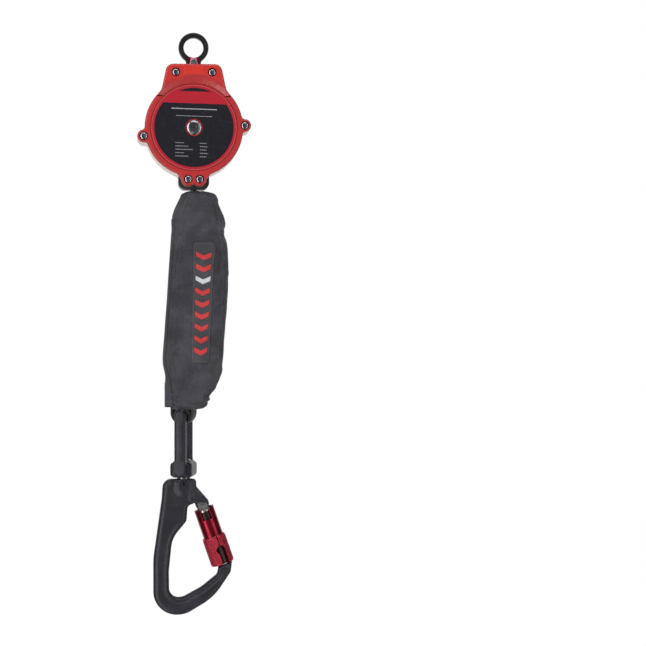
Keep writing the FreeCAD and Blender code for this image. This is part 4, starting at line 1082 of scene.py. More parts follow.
@dataclass
class AbsorberBag:
    """The fabric sleeve round the shock absorber: skin, closure flap, stitching and a plain badge."""

    # height, left edge, right edge and half depth, in millimetres
    form: tuple[tuple[float, float, float, float], ...] = (
        (-149.7, -4.0, 10.0, 6.5), (-150.5, -8.6, 17.0, 8.6), (-151.8, -11.2, 21.2, 10.0),
        (-153.8, -12.9, 23.4, 11.0), (-158.1, -14.8, 25.6, 12.0),
        (-163.5, -17.2, 26.6, 13.4), (-170.0, -20.3, 29.2, 14.6), (-176.0, -22.2, 31.8, 15.5),
        (-184.4, -22.5, 33.6, 16.2), (-190.0, -22.2, 32.4, 16.5), (-194.0, -22.4, 31.7, 16.7),
        (-199.0, -22.9, 33.6, 16.9), (-205.0, -23.3, 35.2, 17.1), (-222.8, -24.5, 36.5, 17.5),
        (-241.5, -25.8, 36.5, 17.8), (-264.4, -27.2, 35.6, 18.0), (-283.0, -28.6, 34.2, 18.0),
        (-301.9, -29.9, 32.6, 18.0), (-318.0, -31.2, 31.7, 17.8), (-330.0, -31.4, 30.8, 17.5),
        (-341.0, -29.2, 29.4, 17.2), (-348.0, -27.6, 27.4, 16.9), (-357.0, -26.4, 22.7, 16.4),
        (-363.7, -25.6, 18.2, 16.0), (-369.4, -25.0, 14.6, 15.8), (-373.0, -24.8, 15.0, 15.7),
        (-376.5, -24.6, 12.6, 15.4), (-379.2, -23.4, 8.6, 14.8))
    columns: int = 104
    pitch: float = 2.3
    square: float = 2.9
    seam_in: Pair = (4.0, 8.6)
    seams: Pair = (-160.0, -370.0)
    right_seam_in: float = 5.8
    hem: Pair = (-22.0, -371.8)
    hem_step: float = 1.6
    hem_sag: float = 3.0
    flap: Pair = (-180.0, -376.0)
    flap_rows: int = 98
    flap_free: float = -338.0
    flap_ease: float = 14.0
    flap_fold: float = 0.4
    flap_tip: float = -30.2
    # of the flap, where it is sewn down and where it hangs free
    flap_in: Pair = (2.8, 3.7)
    flap_lift: Pair = (0.6, 1.0)
    flap_deep: Pair = (6.5, 5.0)
    held_end: float = 4.0
    held_side: float = 1.6
    badge_top: Pair = (11.0, -204.5)
    badge_end: Pair = (6.4, -330.0)
    badge_half: Pair = (11.4, 9.0)
    corner: float = 3.5
    marks: int = 9
    grey_mark: int = 2
    mark_half: float = 0.72
    bend_top: float = -0.1504
    bend_foot: float = -0.195

    def edges(self, z: float) -> list[float]:
        """Left edge, right edge and half depth at a height, in millimetres."""
        return between(self.form, z)

    def skin(self) -> Piece:
        """Loft the skin, let it settle as cloth, and press its folds and sewn channels in.

        Returns:
            The finished skin.
        """
        top, end = self.form[0][0], self.form[-1][0]
        rows = []
        for z in sweep(top, end, int((top - end) / self.pitch)):
            left, right, deep = self.edges(z)
            middle, half = (left + right) / 2, (right - left) / 2
            ring = []
            for spot in arc(1.0, circle(self.columns)):
                x, y = (math.copysign(abs(part) ** (2 / self.square), part) for part in spot)
                ring.append(Vector((middle + half * x, deep * y, z)) * MM)
            rows.append(ring)
        piece = smooth_mesh("absorber_bag", *lathe_rows(rows))
        settle(piece, self.hold, pressure=1.2, grow=0.035, cap=3.5 * MM)
        finer = piece.modifiers.new("smooth", "SUBSURF")
        finer.levels = finer.render_levels = 1
        apply_modifiers(piece)
        piece.data.polygons.foreach_set("use_smooth", [True] * len(piece.data.polygons))
        self.press(piece)
        return piece

    def hold(self, p: Vector) -> float:
        """Hold the ends, the side seams and the sewn channel firmly and the panels hardly at all.

        Args:
            p: Point in metres.

        Returns:
            The share by which it is held, from 0 to 1.
        """
        x, z = p.x / MM, p.z / MM
        left, right, _ = self.edges(z)
        if min(abs(z - self.form[0][0]), abs(z - self.form[-1][0])) < self.held_end:
            return 1.0
        near = min(abs(x - left - self.seam_in[0]), x - left, right - x)
        return 0.9 if near < self.held_side else 0.02

    def creases(self) -> list[Crease]:
        """Lay out the channels that follow the seams and the folds that the cloth shows.

        Returns:
            The creases.
        """
        rows = [z for z, *_ in self.form[2:-2]]
        channels = [Crease(tuple((self.edges(z)[0] + inset, z) for z in rows), 1.1, 0.55, both=True)
                    for inset in self.seam_in]
        channels.append(Crease(tuple((self.edges(z)[1] - 4.6, z) for z in rows[3:-4]), 1.3, 0.5, both=True))
        # course, width and depth
        front = (
            (((-20.5, -363.5), (-12.0, -367.0), (-2.0, -369.5), (8.0, -370.0), (16.0, -368.0)), 1.7, 2.2),
            (((-21.0, -372.0), (-8.0, -375.5), (6.0, -375.8)), 1.5, 1.0),
            (((-3.5, -152.5), (-8.0, -163.0), (-13.0, -177.0), (-14.0, -192.0)), 2.2, 1.0),
            (((2.0, -152.5), (-2.0, -168.0), (-3.0, -180.0)), 2.6, 0.7),
            (((10.0, -153.0), (17.0, -165.0), (22.0, -182.0)), 2.4, 0.9),
            (((20.0, -155.0), (25.5, -169.0), (29.0, -192.0)), 2.0, 1.1),
            (((31.5, -193.5), (22.0, -190.0), (12.0, -191.5), (0.0, -189.0)), 3.0, 0.9),
            (((-21.0, -214.0), (-10.0, -220.0), (3.0, -219.0)), 3.4, 0.5),
            (((34.0, -236.0), (27.0, -243.0), (24.0, -256.0)), 3.0, 0.5),
            (((-23.0, -286.0), (-14.0, -281.0), (-8.0, -284.0)), 3.0, 0.45),
            (((-24.0, -333.0), (-19.0, -345.0), (-18.0, -360.0)), 2.4, 0.9),
            (((29.0, -338.0), (20.0, -345.0), (8.0, -347.0)), 3.2, 0.6),
            (((21.0, -356.0), (10.0, -359.0), (-4.0, -357.0)), 2.6, 0.6))
        rear = (
            (((12.0, -153.0), (4.0, -170.0), (3.0, -196.0)), 3.0, 0.8),
            (((-20.0, -230.0), (0.0, -238.0), (24.0, -233.0)), 3.6, 0.7),
            (((28.0, -300.0), (8.0, -306.0), (-16.0, -302.0)), 3.4, 0.6),
            (((-20.0, -362.0), (-4.0, -367.0), (14.0, -364.0)), 2.4, 1.0))
        return channels + [Crease(*row) for row in front] + [Crease(*row, front=False) for row in rear]

    def press(self, piece: Piece) -> None:
        """Push the creases into the skin along its normals, with a soft lip each side.

        Args:
            piece: The skin.
        """
        creases = self.creases()
        normals = [v.normal.copy() for v in piece.data.vertices]
        for v, n in zip(piece.data.vertices, normals):
            x, z = v.co.x / MM, v.co.z / MM
            shift = 0.22 * math.sin(x * 0.31 + z * 0.11) * math.sin(z * 0.17 - x * 0.07)
            for crease in creases:
                if crease.both or (v.co.y < 0) == crease.front:
                    d = crease.off(x, z) / crease.width
                    if d < 4:
                        shift -= crease.depth * (math.exp(-d * d) - 0.35 * math.exp(-(d - 1.9) ** 2 * 1.6))
            v.co += n * shift * MM
        piece.data.update()

    def closure(self, skin: Surface) -> Piece:
        """Build the closure flap: folded along the left edge, hanging free below with a square end.

        Args:
            skin: The bag's skin.

        Returns:
            The flap.
        """
        sewn, loose = [], []
        for z in sweep(*self.flap, self.flap_rows):
            left = self.edges(z)[0]
            free = min(1.0, max(0.0, (self.flap_free - z) / self.flap_ease))
            outer = part_way((left - self.flap_fold, self.flap_tip), free)
            on = skin.at(left + part_way(self.flap_in, free), z, part_way(self.flap_lift, free))
            sewn.append(on)
            loose.append(Vector((outer * MM, on.y + part_way(self.flap_deep, free) * MM, z * MM)))
        return ribbon("closure_flap", sewn, loose, 1.2 * MM, 5, bulge=0.8 * MM)

    def stitch_rows(self, skin: Surface) -> Piece:
        """Sew the seams: two rows beside the closure, one beside the right edge, one over the hem.

        Args:
            skin: The bag's skin.

        Returns:
            The stitches.
        """
        heights = sweep(*self.seams, 105)
        rows = [[(self.edges(z)[0] + inset, z) for z in heights]
                for inset in (self.seam_in[0] + 1.2, self.seam_in[1] + 1.0)]
        rows.append([(self.edges(z)[1] - self.right_seam_in, z) for z in heights[15:92]])
        x, z = self.hem
        rows.append([(x + k * self.hem_step, z - self.hem_sag * math.sin(k / 21 * math.pi)) for k in range(21)])
        sewn = [stitch for row in rows for stitch in skin.sew(row, 3.4)]
        return stitches("bag_stitches", sewn, 2.3 * MM, 0.34 * MM)

    def badge(self, skin: Surface) -> list[Piece]:
        """Lay a plain dark badge on the front, with a sewn border and a column of plain chevrons.

        Args:
            skin: The bag's skin.

        Returns:
            The badge, its red chevrons, its grey chevron and its border stitches.
        """
        (tx, tz), (ex, ez) = self.badge_top, self.badge_end
        length = math.dist(self.badge_top, self.badge_end)
        dx, dz = (ex - tx) / length, (ez - tz) / length
        pitch = (length - 14.0) / self.marks

        def spot(u: float, v: float) -> Pair:
            """Turn a share across and a distance down into X and Z.

            Args:
                u: Share across, from -1 to 1.
                v: Distance down.

            Returns:
                X and Z.
            """
            half = part_way(self.badge_half, min(1.0, max(0.0, v / length)))
            return tx + dx * v - dz * u * half, tz + dz * v + dx * u * half

        def field(u: float, t: float) -> Pair:
            """Place a point of the badge, whose corners are round.

            Args:
                u: Share across, from -1 to 1.
                t: Share down, from 0 to 1.

            Returns:
                X and Z.
            """
            edge = max(0.0, self.corner - min(length * t, length - length * t))
            pull = (self.corner - math.sqrt(self.corner ** 2 - edge ** 2)) / 10.5
            return spot(u * (1 - pull), length * t)

        def chevron(m: int) -> Callable[[float, float], Pair]:
            """Give the placing of a point of one chevron."""
            return lambda u, t: spot(u * self.mark_half,
                                     8.0 + pitch * (m + 0.16 + 0.40 * t + 0.30 * (1 - abs(u))))

        def sheet(rows: int, columns: int, lift: float, place: Callable[[float, float], Pair]) -> Mesh:
            """Lay a grid of points over the skin."""
            places = [place(u, t) for t in sweep(0.0, 1.0, rows) for u in sweep(-1.0, 1.0, columns)]
            return [skin.at(*spot, lift) for spot in places], grid_faces(rows, columns)

        colours: tuple[Mesh, Mesh] = (([], []), ([], []))
        for m in range(self.marks):
            add_mesh(colours[m == self.grey_mark], sheet(4, 14, 0.72, chevron(m)))
        made = []
        for name, mesh, thick in (("badge", sheet(90, 18, 0.45, field), 0.7), ("badge_red", colours[0], 0.4),
                                  ("badge_grey", colours[1], 0.4)):
            made.append(smooth_mesh(name, *mesh))
            thicken(made[-1], thick * MM)
        rows = [[spot(u, 4.0 + k * 2.0) for k in range(int((length - 8) / 2) + 1)] for u in (-0.9, 0.9)]
        rows += [[spot(u, v) for u in sweep(-0.75, 0.75, 6)] for v in (1.6, length - 1.6)]
        sewn = [stitch for row in rows for stitch in skin.sew(row, 1.9, 0.5)]
        return [*made, stitches("badge_stitches", sewn, 1.3 * MM, 0.28 * MM)]


@dataclass
class Webbing:
    """The woven strap pieces: the lifeline's visible end, and the loop under the bag."""

    line_width: float = 18.0
    line_thick: float = 1.9
    guide_z: float = -143.0
    stretch_from: float = -0.1462
    stretch_to: float = -0.1486
    tail_z: float = -150.8
    loop_width: float = 21.6
    loop_thick: float = 2.7
    loop_r: float = 10.85
    bar_z: float = -385.7
    pad_r: float = 7.6
    pad_thick: float = 3.3
    pad_past: float = 0.24

    def lifeline(self) -> Piece:
        """Build the strap from the guide into the bag.

        Returns:
            The strap.
        """
        course = [Vector((0.0, 0.0, z)) for z in sweep(self.guide_z * MM, self.tail_z * MM, 120)]
        piece = strap("lifeline_strap", course, Vector((0, 1, 0)), self.line_width * MM, self.line_thick * MM)
        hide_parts("webbing_tail")
        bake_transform(piece)
        return piece

    def hang(self, name: str, course: Sequence[Pair], drop: float, width: float, thick: float) -> Piece:
        """Build a strap about the bail's bar, turned to its heading.

        Args:
            name: Name of the piece.
            course: Places across and up of its middle line, seen along the bar.
            drop: Height that the course is moved by.
            width: Width.
            thick: Thickness.

        Returns:
            The piece.
        """
        low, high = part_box("end_loop")
        turn = Matrix.Rotation(-LINK_YAW, 3, "Z")
        placed = [turn @ Vector((x, 0, z)) + Vector(((low.x + high.x) / 2, 0, drop)) for x, z in course]
        return strap(name, placed, turn @ Vector((0, 1, 0)), width, thick)

    def loop(self) -> Piece:
        """Build the U of webbing that hangs round the bail's bar, with both legs going up into the bag.

        Returns:
            The loop.
        """
        low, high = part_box("end_loop")
        r = self.loop_r * MM
        centre = low.z + self.loop_thick / 2 * MM + r
        rise = sweep(0.0, high.z - centre, 22)[1:]
        bend = arc(r, sweep(math.pi, 2 * math.pi, 24))
        course = [(-r, z) for z in reversed(rise)] + bend + [(r, z) for z in rise]
        piece = self.hang("webbing_loop", course, centre, self.loop_width * MM, self.loop_thick * MM)
        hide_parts("end_loop")
        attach(piece, "absorber")
        return piece

    def wear_pad(self) -> Piece:
        """Fold a thick pad over the top of the bail's bar, inside the loop.

        Returns:
            The pad.
        """
        course = arc(self.pad_r * MM, sweep(-self.pad_past, math.pi + self.pad_past, 28))
        width = self.loop_width * 0.94 * MM
        piece = self.hang("wear_pad", course, self.bar_z * MM, width, self.pad_thick * MM)
        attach(piece, "absorber")
        return piece


# ---------------------------------------------------------------- forged pieces
def forged_skin(name: str, node: str, extra: Sequence[Mesh], voxel: float, rounds: int) -> Piece:
    """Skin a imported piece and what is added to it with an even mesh, and soften its edges.

    Args:
        name: Name of the new piece.
        node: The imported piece.
        extra: Points and faces of solids that are joined to it.
        voxel: Size of the new mesh's faces.
        rounds: Rounds of smoothing.

    Returns:
        The new piece.
    """
    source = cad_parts[node]
    mesh: Mesh = ([source.matrix_world @ v.co for v in source.data.vertices],
                  [tuple(p.vertices) for p in source.data.polygons])
    for more in extra:
        add_mesh(mesh, more)
    piece = smooth_mesh(name, *mesh)
    shell = bmesh.new()
    shell.from_mesh(piece.data)
    bmesh.ops.remove_doubles(shell, verts=shell.verts, dist=WELD)
    bmesh.ops.recalc_face_normals(shell, faces=shell.faces)
    shell.to_mesh(piece.data)
    shell.free()
    skin = piece.modifiers.new("skin", "REMESH")
    skin.mode, skin.voxel_size, skin.use_smooth_shade = "VOXEL", voxel, True
    soft = piece.modifiers.new("soft", "SMOOTH")
    soft.factor, soft.iterations = 0.5, rounds
    apply_modifiers(piece)
    return piece


@dataclass
class ForgedHook:
    """The hook's forging: round edges, a bead along the inner edge, a swelling round the stud, and cheeks."""

    half: float = 6.3
    fillet: float = 3.5
    round_r: float = 6.4
    edge: float = 1.1
    power: float = 2.3
    bead: float = 5.0
    bead_deep: float = 0.9
    bead_top: float = -492.0
    boss: Pair = (-10.3, -460.3)
    boss_r: float = 10.6
    boss_out: float = 8.15
    pivot: Pair = (8.964, -477.575)
    pivot_clear: float = 9.9
    cheek: tuple[Pair, ...] = (
        (-1.6, -463.5), (3.4, -462.2), (13.9, -472.2), (15.9, -475.4), (15.2, -477.0), (9.0, -476.2),
        (3.0, -477.2), (-3.4, -476.4), (-5.0, -470.0))
    cheek_in: float = 6.15
    cheek_out: float = 7.2
    middle: Pair = (0.0, -532.0)
    mark: Pair = (-20.4, -478.6)
    mark_r: float = 2.0
    neck: float = -453.5
    plain_r: float = 8.0
    step: float = 0.5

    def rim(self) -> list[KDTree]:
        """Find the forging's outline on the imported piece.

        Returns:
            A tree of the whole outline, and a tree of its inner side alone.
        """
        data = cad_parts["hook_body"].data
        centre = Vector((self.middle[0], 0, self.middle[1])) * MM
        whole: list[Vector] = []
        inside: list[Vector] = []
        for face in data.polygons:
            x, z = face.center.x / MM, face.center.z / MM
            near_bore = abs(x - self.boss[0]) < 9.0 and -469.5 < z < -452.0
            near_pivot = math.dist((x, z), self.pivot) < self.pivot_clear
            if abs(face.normal.y) > 0.05 or abs(face.center.y) > 3.0 * MM or near_bore or near_pivot:
                continue
            corners = [Vector((data.vertices[k].co.x, 0, data.vertices[k].co.z)) for k in face.vertices]
            for a, b in zip(corners, corners[1:] + corners[:1]):
                steps = int((b - a).length / (self.step * MM)) + 1
                line = [a.lerp(b, k / steps) for k in range(steps)]
                whole += line
                inside += line if face.normal.dot(centre - a) > 0 else []
        trees = []
        for spots in (whole, inside):
            trees.append(KDTree(len(spots)))
            for k, spot in enumerate(spots):
                trees[-1].insert(spot, k)
            trees[-1].balance()
        return trees

    def share(self, depth: float) -> float:
        """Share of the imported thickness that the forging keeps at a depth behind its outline.

        Args:
            depth: Distance behind the outline, in millimetres.

        Returns:
            The share.
        """
        packed = self.half
        if depth < self.fillet:
            packed += math.sqrt(self.fillet ** 2 - (self.fillet - depth) ** 2) - self.fillet
        t = 1 - min(depth, self.round_r) / self.round_r
        return (self.edge + (self.half - self.edge) * (1 - t ** self.power) ** (1 / self.power)) / packed

    def build(self) -> Piece:
        """Skin the forging and shape its faces.

        Returns:
            The finished hook.
        """
        near, far = self.cheek_in, self.cheek_out
        cheeks = [prism(self.cheek, -far, -near), prism(self.cheek, near, far)]
        piece = forged_skin("forged_hook", "hook_body", cheeks, voxel=0.62 * MM, rounds=3)
        rim, inner = self.rim()
        for v in piece.data.vertices:
            flat = Vector((v.co.x, 0, v.co.z))
            v.co.y = self.faced(v.co / MM, rim.find(flat)[2] / MM, inner.find(flat)[2] / MM) * MM
        piece.data.update()
        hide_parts("hook_body")
        return piece

    def faced(self, p: Vector, depth: float, side: float) -> float:
        """Find where a point of the skin goes to in Y, in millimetres.

        Args:
            p: The point.
            depth: Its distance behind the whole outline.
            side: Its distance behind the inner side.

        Returns:
            The new place in Y.
        """
        free = soft_step((math.dist((p.x, p.z), self.pivot) - self.plain_r) / 5.0) * (p.z < self.neck)
        y = p.y * (1 + (self.share(depth) - 1) * free)
        boss = math.hypot(p.x - self.boss[0], min(0.0, p.z - self.boss[1]))
        ring = math.dist((p.x, p.z), self.mark)
        below = soft_step((self.bead_top - p.z) / 12)
        # depth of a groove, the point's distance from the groove's middle, and the groove's width
        grooves = ((self.bead_deep * below, side - self.bead, 0.95),
                   (-0.35 * below, side - self.bead + 2.6, 1.3),
                   (0.55 * soft_step((self.boss[1] + 2 - p.z) / 5), boss - self.boss_r - 0.6, 1.3),
                   (0.35, ring - self.mark_r, 0.6))
        sunk = sum(deep * math.exp(-(off / wide) ** 2) for deep, off, wide in grooves)
        swell = (self.boss_out - self.half) * soft_step((self.boss_r - boss) / 6.0)
        out = max(abs(y), min(abs(y) + swell, self.half + swell))
        return math.copysign(out - soft_step((abs(y) - 3.0) / 1.5) * sunk * free, y)


@dataclass
class ForgedBail:
    """The bail's forging: rounded legs that run down over its block, and soft edges."""

    x: float = -10.3
    leg_half: float = 6.1
    leg_from: float = 20.0
    leg_out: float = 24.3
    leg_top: float = -392.0
    leg_end: float = -447.4
    leg_middle: float = 19.2
    leg_thick: float = 5.0
    bar_top: float = -384.0
    block_top: float = -432.7
    block_foot: float = -449.9
    block_half: float = 11.8
    block_deep: float = 21.9
    sunk: float = 2.4
    near: float = 0.86

    def build(self) -> Piece:
        """Skin the bail, with its legs drawn down over the block.

        Returns:
            The finished bail.
        """
        half = self.leg_half
        outline = [(-half, self.leg_top), (half, self.leg_top)]
        outline += [(x, self.leg_end + half + z) for x, z in arc(half, sweep(0.0, -math.pi, 12))]
        place = Matrix.Translation((self.x * MM, 0, 0)) @ Matrix.Rotation(-LINK_YAW, 4, "Z")
        extra = []
        for span in ((-self.leg_out, -self.leg_from), (self.leg_from, self.leg_out)):
            points, faces = prism(outline, *span)
            extra.append(([place @ p for p in points], faces))
        piece = forged_skin("forged_bail", "bail", extra, voxel=0.6 * MM, rounds=9)
        back = place.inverted()
        for v in piece.data.vertices:
            p = back @ v.co
            self.round_off(p)
            v.co = place @ p
        piece.data.update()
        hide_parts("bail")
        return piece

    def round_off(self, p: Vector) -> None:
        """Move one point of the skin onto a rounded leg or a rounded block.

        Args:
            p: The point, in the bail's own frame.
        """
        z = p.z / MM
        if self.block_top + 1.2 < z < self.bar_top:
            u, w = p.x / MM / self.leg_half, (abs(p.y) / MM - self.leg_middle) / self.leg_thick
            most = max(abs(u), abs(w))
            if self.near < most < 1.12:
                fade = soft_step((self.bar_top - z) / 5.0)
                k = most / ((abs(u) ** 3 + abs(w) ** 3) ** (1 / 3) * fade + most * (1 - fade))
                p.x = u * k * self.leg_half * MM
                p.y = math.copysign(self.leg_middle + w * k * self.leg_thick, p.y) * MM
        elif z <= self.block_top + 0.3:
            high, middle = (self.block_top - self.block_foot) / 2, (self.block_top + self.block_foot) / 2
            u, w, t = p.x / MM / self.block_half, p.y / MM / self.block_deep, (z - middle) / high
            beside = max(abs(p.x) / MM - self.leg_half, self.leg_end - z)
            free = soft_step(beside / 1.6) if abs(w) > 0.6 else 1.0
            most = max(abs(u), abs(w), abs(t))
            if most >= self.near:
                k = most / (abs(u) ** 5 + abs(w) ** 5 + abs(t) ** 5) ** 0.2 * free + 1 - free
                sink = math.copysign(self.sunk * free * soft_step((abs(w) - 0.7) / 0.25), p.y)
                p.x, p.y, p.z = p.x * k, p.y * k - sink * MM, (middle + t * k * high) * MM


# ---------------------------------------------------------------- hard pieces built here
@dataclass
class KnurledSleeve:
    """The locking sleeve of the hook: diamond knurl, chamfered ends, and a keyhole window with a slit."""

    r: float = 12.15
    bore: float = 8.7
    wide_bore: float = 10.8
    shoulder: float = 41.2
    start: float = 31.3
    end: float = 61.8
    knurl: float = 0.3
    teeth: int = 34
    rise: float = 2.5
    rim: float = 2.0
    run_in: float = 0.5
    chamfer: float = 0.7
    window_r: float = 4.8
    window_at: float = 46.8
    slit: float = 1.0
    shift: float = math.radians(14.0)
    columns: int = 416
    step: float = 0.26

    def place(self) -> Matrix:
        """Frame of the gate's axis: its top at the origin and its length down -Z."""
        top = Vector((GATE_TOP[0], 0, GATE_TOP[1])) * MM
        return Matrix.Translation(top) @ Matrix.Rotation(-GATE_TILT, 4, "Y")

    def radius(self, angle: float, s: float) -> float:
        """Outer radius at an angle and a distance down the axis, in millimetres.

        Args:
            angle: Angle about the axis.
            s: Distance down the axis.

        Returns:
            The radius.
        """
        inset = min(s - self.start, self.end - s)
        if inset < self.rim:
            return self.r - max(0.0, self.chamfer - inset) * 0.8
        around = angle / (2 * math.pi) * self.teeth
        one, two = (1 - abs((around + sign * s / self.rise) % 1 - 0.5) * 2 for sign in (1, -1))
        return self.r + self.knurl * min(one, two) ** 0.8 * min(1.0, (inset - self.rim) / self.run_in)

    def build(self) -> Piece:
        """Turn the sleeve, cut the window and slit, and set it on the gate's axis.

        Returns:
            The finished sleeve.
        """
        turns = circle(self.columns)
        steps = int((self.end - self.start) / self.step)
        inside = ((self.end, self.bore + 0.5), (self.end - 0.6, self.bore), (self.shoulder, self.bore),
                  (self.shoulder, self.wide_bore), (self.start + 0.4, self.wide_bore),
                  (self.start, self.wide_bore + 0.3))
        rows = [[(a, self.radius(a, s), s) for a in turns] for s in sweep(self.start, self.end, steps)]
        rows += [[(a, r, s) for a in turns] for s, r in inside]
        rings = [[Vector((r * math.cos(a), r * math.sin(a), -s)) * MM for a, r, s in row] for row in rows]
        piece = smooth_mesh("knurled_sleeve", *lathe_rows(rings, looped=True), smooth=False)
        cutter = smooth_mesh("window_cutter", *prism(self.window(), -20.0, -4.0), smooth=False)
        cutter.data.transform(Matrix.Rotation(self.shift, 4, "Z"))
        cut = piece.modifiers.new("window", "BOOLEAN")
        cut.operation, cut.object, cut.solver = "DIFFERENCE", cutter, "EXACT"
        apply_modifiers(piece)
        bpy.data.objects.remove(cutter)
        piece.data.transform(self.place())
        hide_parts("locking_sleeve")
        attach(piece, "lock_sleeve")
        return piece

    def window(self) -> list[Pair]:
        """Draw the keyhole window, open at the foot, and the slit above it.

        Returns:
            The outline, with the gate's axis upright.
        """
        w, at, half = self.window_r, self.window_at, self.slit / 2
        neck, top, foot = math.sqrt(w * w - half * half) - at, 2.0 - self.start, -self.end - 2.0
        left, right = ([(x, z - at) for x, z in arc(w, map(math.radians, sweep(*span)))]
                       for span in ((98, 228, 12), (0, 82, 8)))
        return [(-half, top), (-half, neck), *left, (-w + 1.6, foot),
                (w, foot), *right, (half, neck), (half, top)]


@dataclass
class LockSpring:
    """The slotted spring over the slider, as packed at rest."""

    node: str = "sleeve_spring"
    fixed_end: float = 31.1
    free_end: float = 35.9
    lift: float = 3.0

    def build(self, place: Matrix) -> Piece:
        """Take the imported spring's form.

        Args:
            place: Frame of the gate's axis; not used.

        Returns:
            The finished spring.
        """
        piece = put("lock_spring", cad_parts[self.node].data.copy())
        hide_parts(self.node)
        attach(piece, "gate")
        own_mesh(piece)
        return piece


@dataclass(frozen=True)
class Fastener:
    """A round head on a plain shank, with a lobed or hexagonal socket, in millimetres."""

    head_r: float
    head_t: float
    shank_r: float
    socket_r: float
    lobe: float
    socket_deep: float
    fall: float = 0.9
    groove_r: float = 0.0
    crown: float = 0.05
    lip: float = 0.04
    columns: int = 60

    def rings(self, length: float) -> list[tuple[float, float, bool]]:
        """List the radius, the depth behind the crown and whether the ring follows the socket.

        Args:
            length: Length of the whole fastener.

        Returns:
            A row for each ring, from the socket's floor on.
        """
        s, h, deep, crown = self.socket_r, self.head_r, self.socket_deep, self.crown
        out = [(s * 0.45, deep, True), (s * 0.92, deep - 0.1, True), (s * 0.97, deep * 0.5, True),
               (s, crown + 0.3, True), (s + 0.2, crown, True)]
        if self.groove_r:
            out += [(self.groove_r + off, crown * 0.5 + sunk, False)
                    for off, sunk in ((-0.35, 0.0), (-0.2, 0.3), (0.2, 0.3), (0.35, 0.0))]
        out += [(s + share * (h - s), self.lip + self.fall * drop, False)
                for share, drop in ((0.45, 0.1), (0.7, 0.32), (0.87, 0.6), (0.97, 0.85), (1.0, 1.15))]
        back, shank = self.head_t, self.shank_r
        return out + [(h, back, False), (h - 0.05, back, False), (shank, back, False),
                      (shank, length - 0.5, False), (shank - 0.4, length, False)]

    def build(self, name: str, node: str) -> Piece:
        """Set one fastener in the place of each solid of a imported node.

        Args:
            name: Name of the new piece.
            node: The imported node.

        Returns:
            The fasteners in one mesh.
        """
        mesh: Mesh = ([], [])
        each = 0
        for k, (low, high) in enumerate(sorted(islands(node), key=lambda box: tuple(box[0]))):
            x, z = (low.x + high.x) / 2, (low.z + high.z) / 2
            rows = []
            for r, deep, socket in self.rings((high.y - low.y) / MM):
                row = []
                for a in circle(self.columns):
                    out = (r + socket * self.lobe * math.cos(6 * (a + 0.7 * k))) * MM
                    row.append(Vector((x + out * math.cos(a), low.y + deep * MM, z + out * math.sin(a))))
                rows.append(row)
            more = lathe_rows(rows)
            each = len(more[1])
            add_mesh(mesh, more)
        piece = smooth_mesh(name, *mesh)
        # painted shade: the socket's floor and walls take the second, dark material
        in_socket = {*range(3 * self.columns), *range(each - 2 * self.columns, each - self.columns)}
        for k, face in enumerate(piece.data.polygons):
            face.material_index = int(k % each in in_socket)
        piece.modifiers.new("edges", "EDGE_SPLIT").split_angle = math.radians(38)
        apply_modifiers(piece)
        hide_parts(node)
        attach(piece, "block")
        return piece


def spring_pin() -> Piece:
    """Build the pin that locks the stud: a rolled tube that is blind in its middle.

    Returns:
        The pin, which rides the hook.
    """
    low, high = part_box("roll_pin")
    middle, half, r = (low + high) / 2, (high.y - low.y) / 2, (high.x - low.x) / 2
    # share of the radius, and depth behind the end in millimetres
    form = ((0.48, 2.4), (0.55, 0.3), (0.68, 0.0), (0.9, 0.0), (1.0, 0.3))
    rows = [[middle + Vector((x, deep * MM - half, z)) for x, z in arc(r * share, circle(32))]
            for share, deep in form]
    rows += [[Vector((p.x, 2 * middle.y - p.y, p.z)) for p in row] for row in reversed(rows)]
    piece = smooth_mesh("spring_pin", *lathe_rows(rows))
    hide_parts("roll_pin")
    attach(piece, "hook")
    return piece


def retaining_clip(place: Matrix, ring_r: float = 8.38, wire_r: float = 0.42, at: float = 62.05) -> Piece:
    """Build the bright wire ring that closes the locking sleeve's foot.

    Args:
        place: Frame of the gate's axis.
        ring_r: Radius of the ring's middle line, in millimetres.
        wire_r: Radius of the wire, in millimetres.
        at: Distance down the axis, in millimetres.

    Returns:
        The ring, which rides the gate.
    """
    wire = [(ring_r + out, up - at) for out, up in arc(wire_r, circle(10))]
    rows = [[Vector((r * x, r * y, z)) * MM for r, z in wire] for x, y in arc(1.0, circle(72))]
    piece = smooth_mesh("sleeve_clip", *lathe_rows(rows, looped=True))
    piece.data.transform(place)
    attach(piece, "gate")
    return piece


# ---------------------------------------------------------------- dressing, studio and camera
def wells(node: str) -> tuple[Pair, ...]:
    """Find the X and Z of each screw of a node, for the painted shade in its well."""
    return tuple(((low.x + high.x) / 2, (low.z + high.z) / 2) for low, high in islands(node))


def wear(piece: Piece, material: bpy.types.Material) -> None:
    """Give a whole piece one material.

    Args:
        piece: The piece.
        material: Its material.
    """
    if not piece.material_slots:
        piece.data.materials.append(material)
    for place in piece.material_slots:
        place.material = material


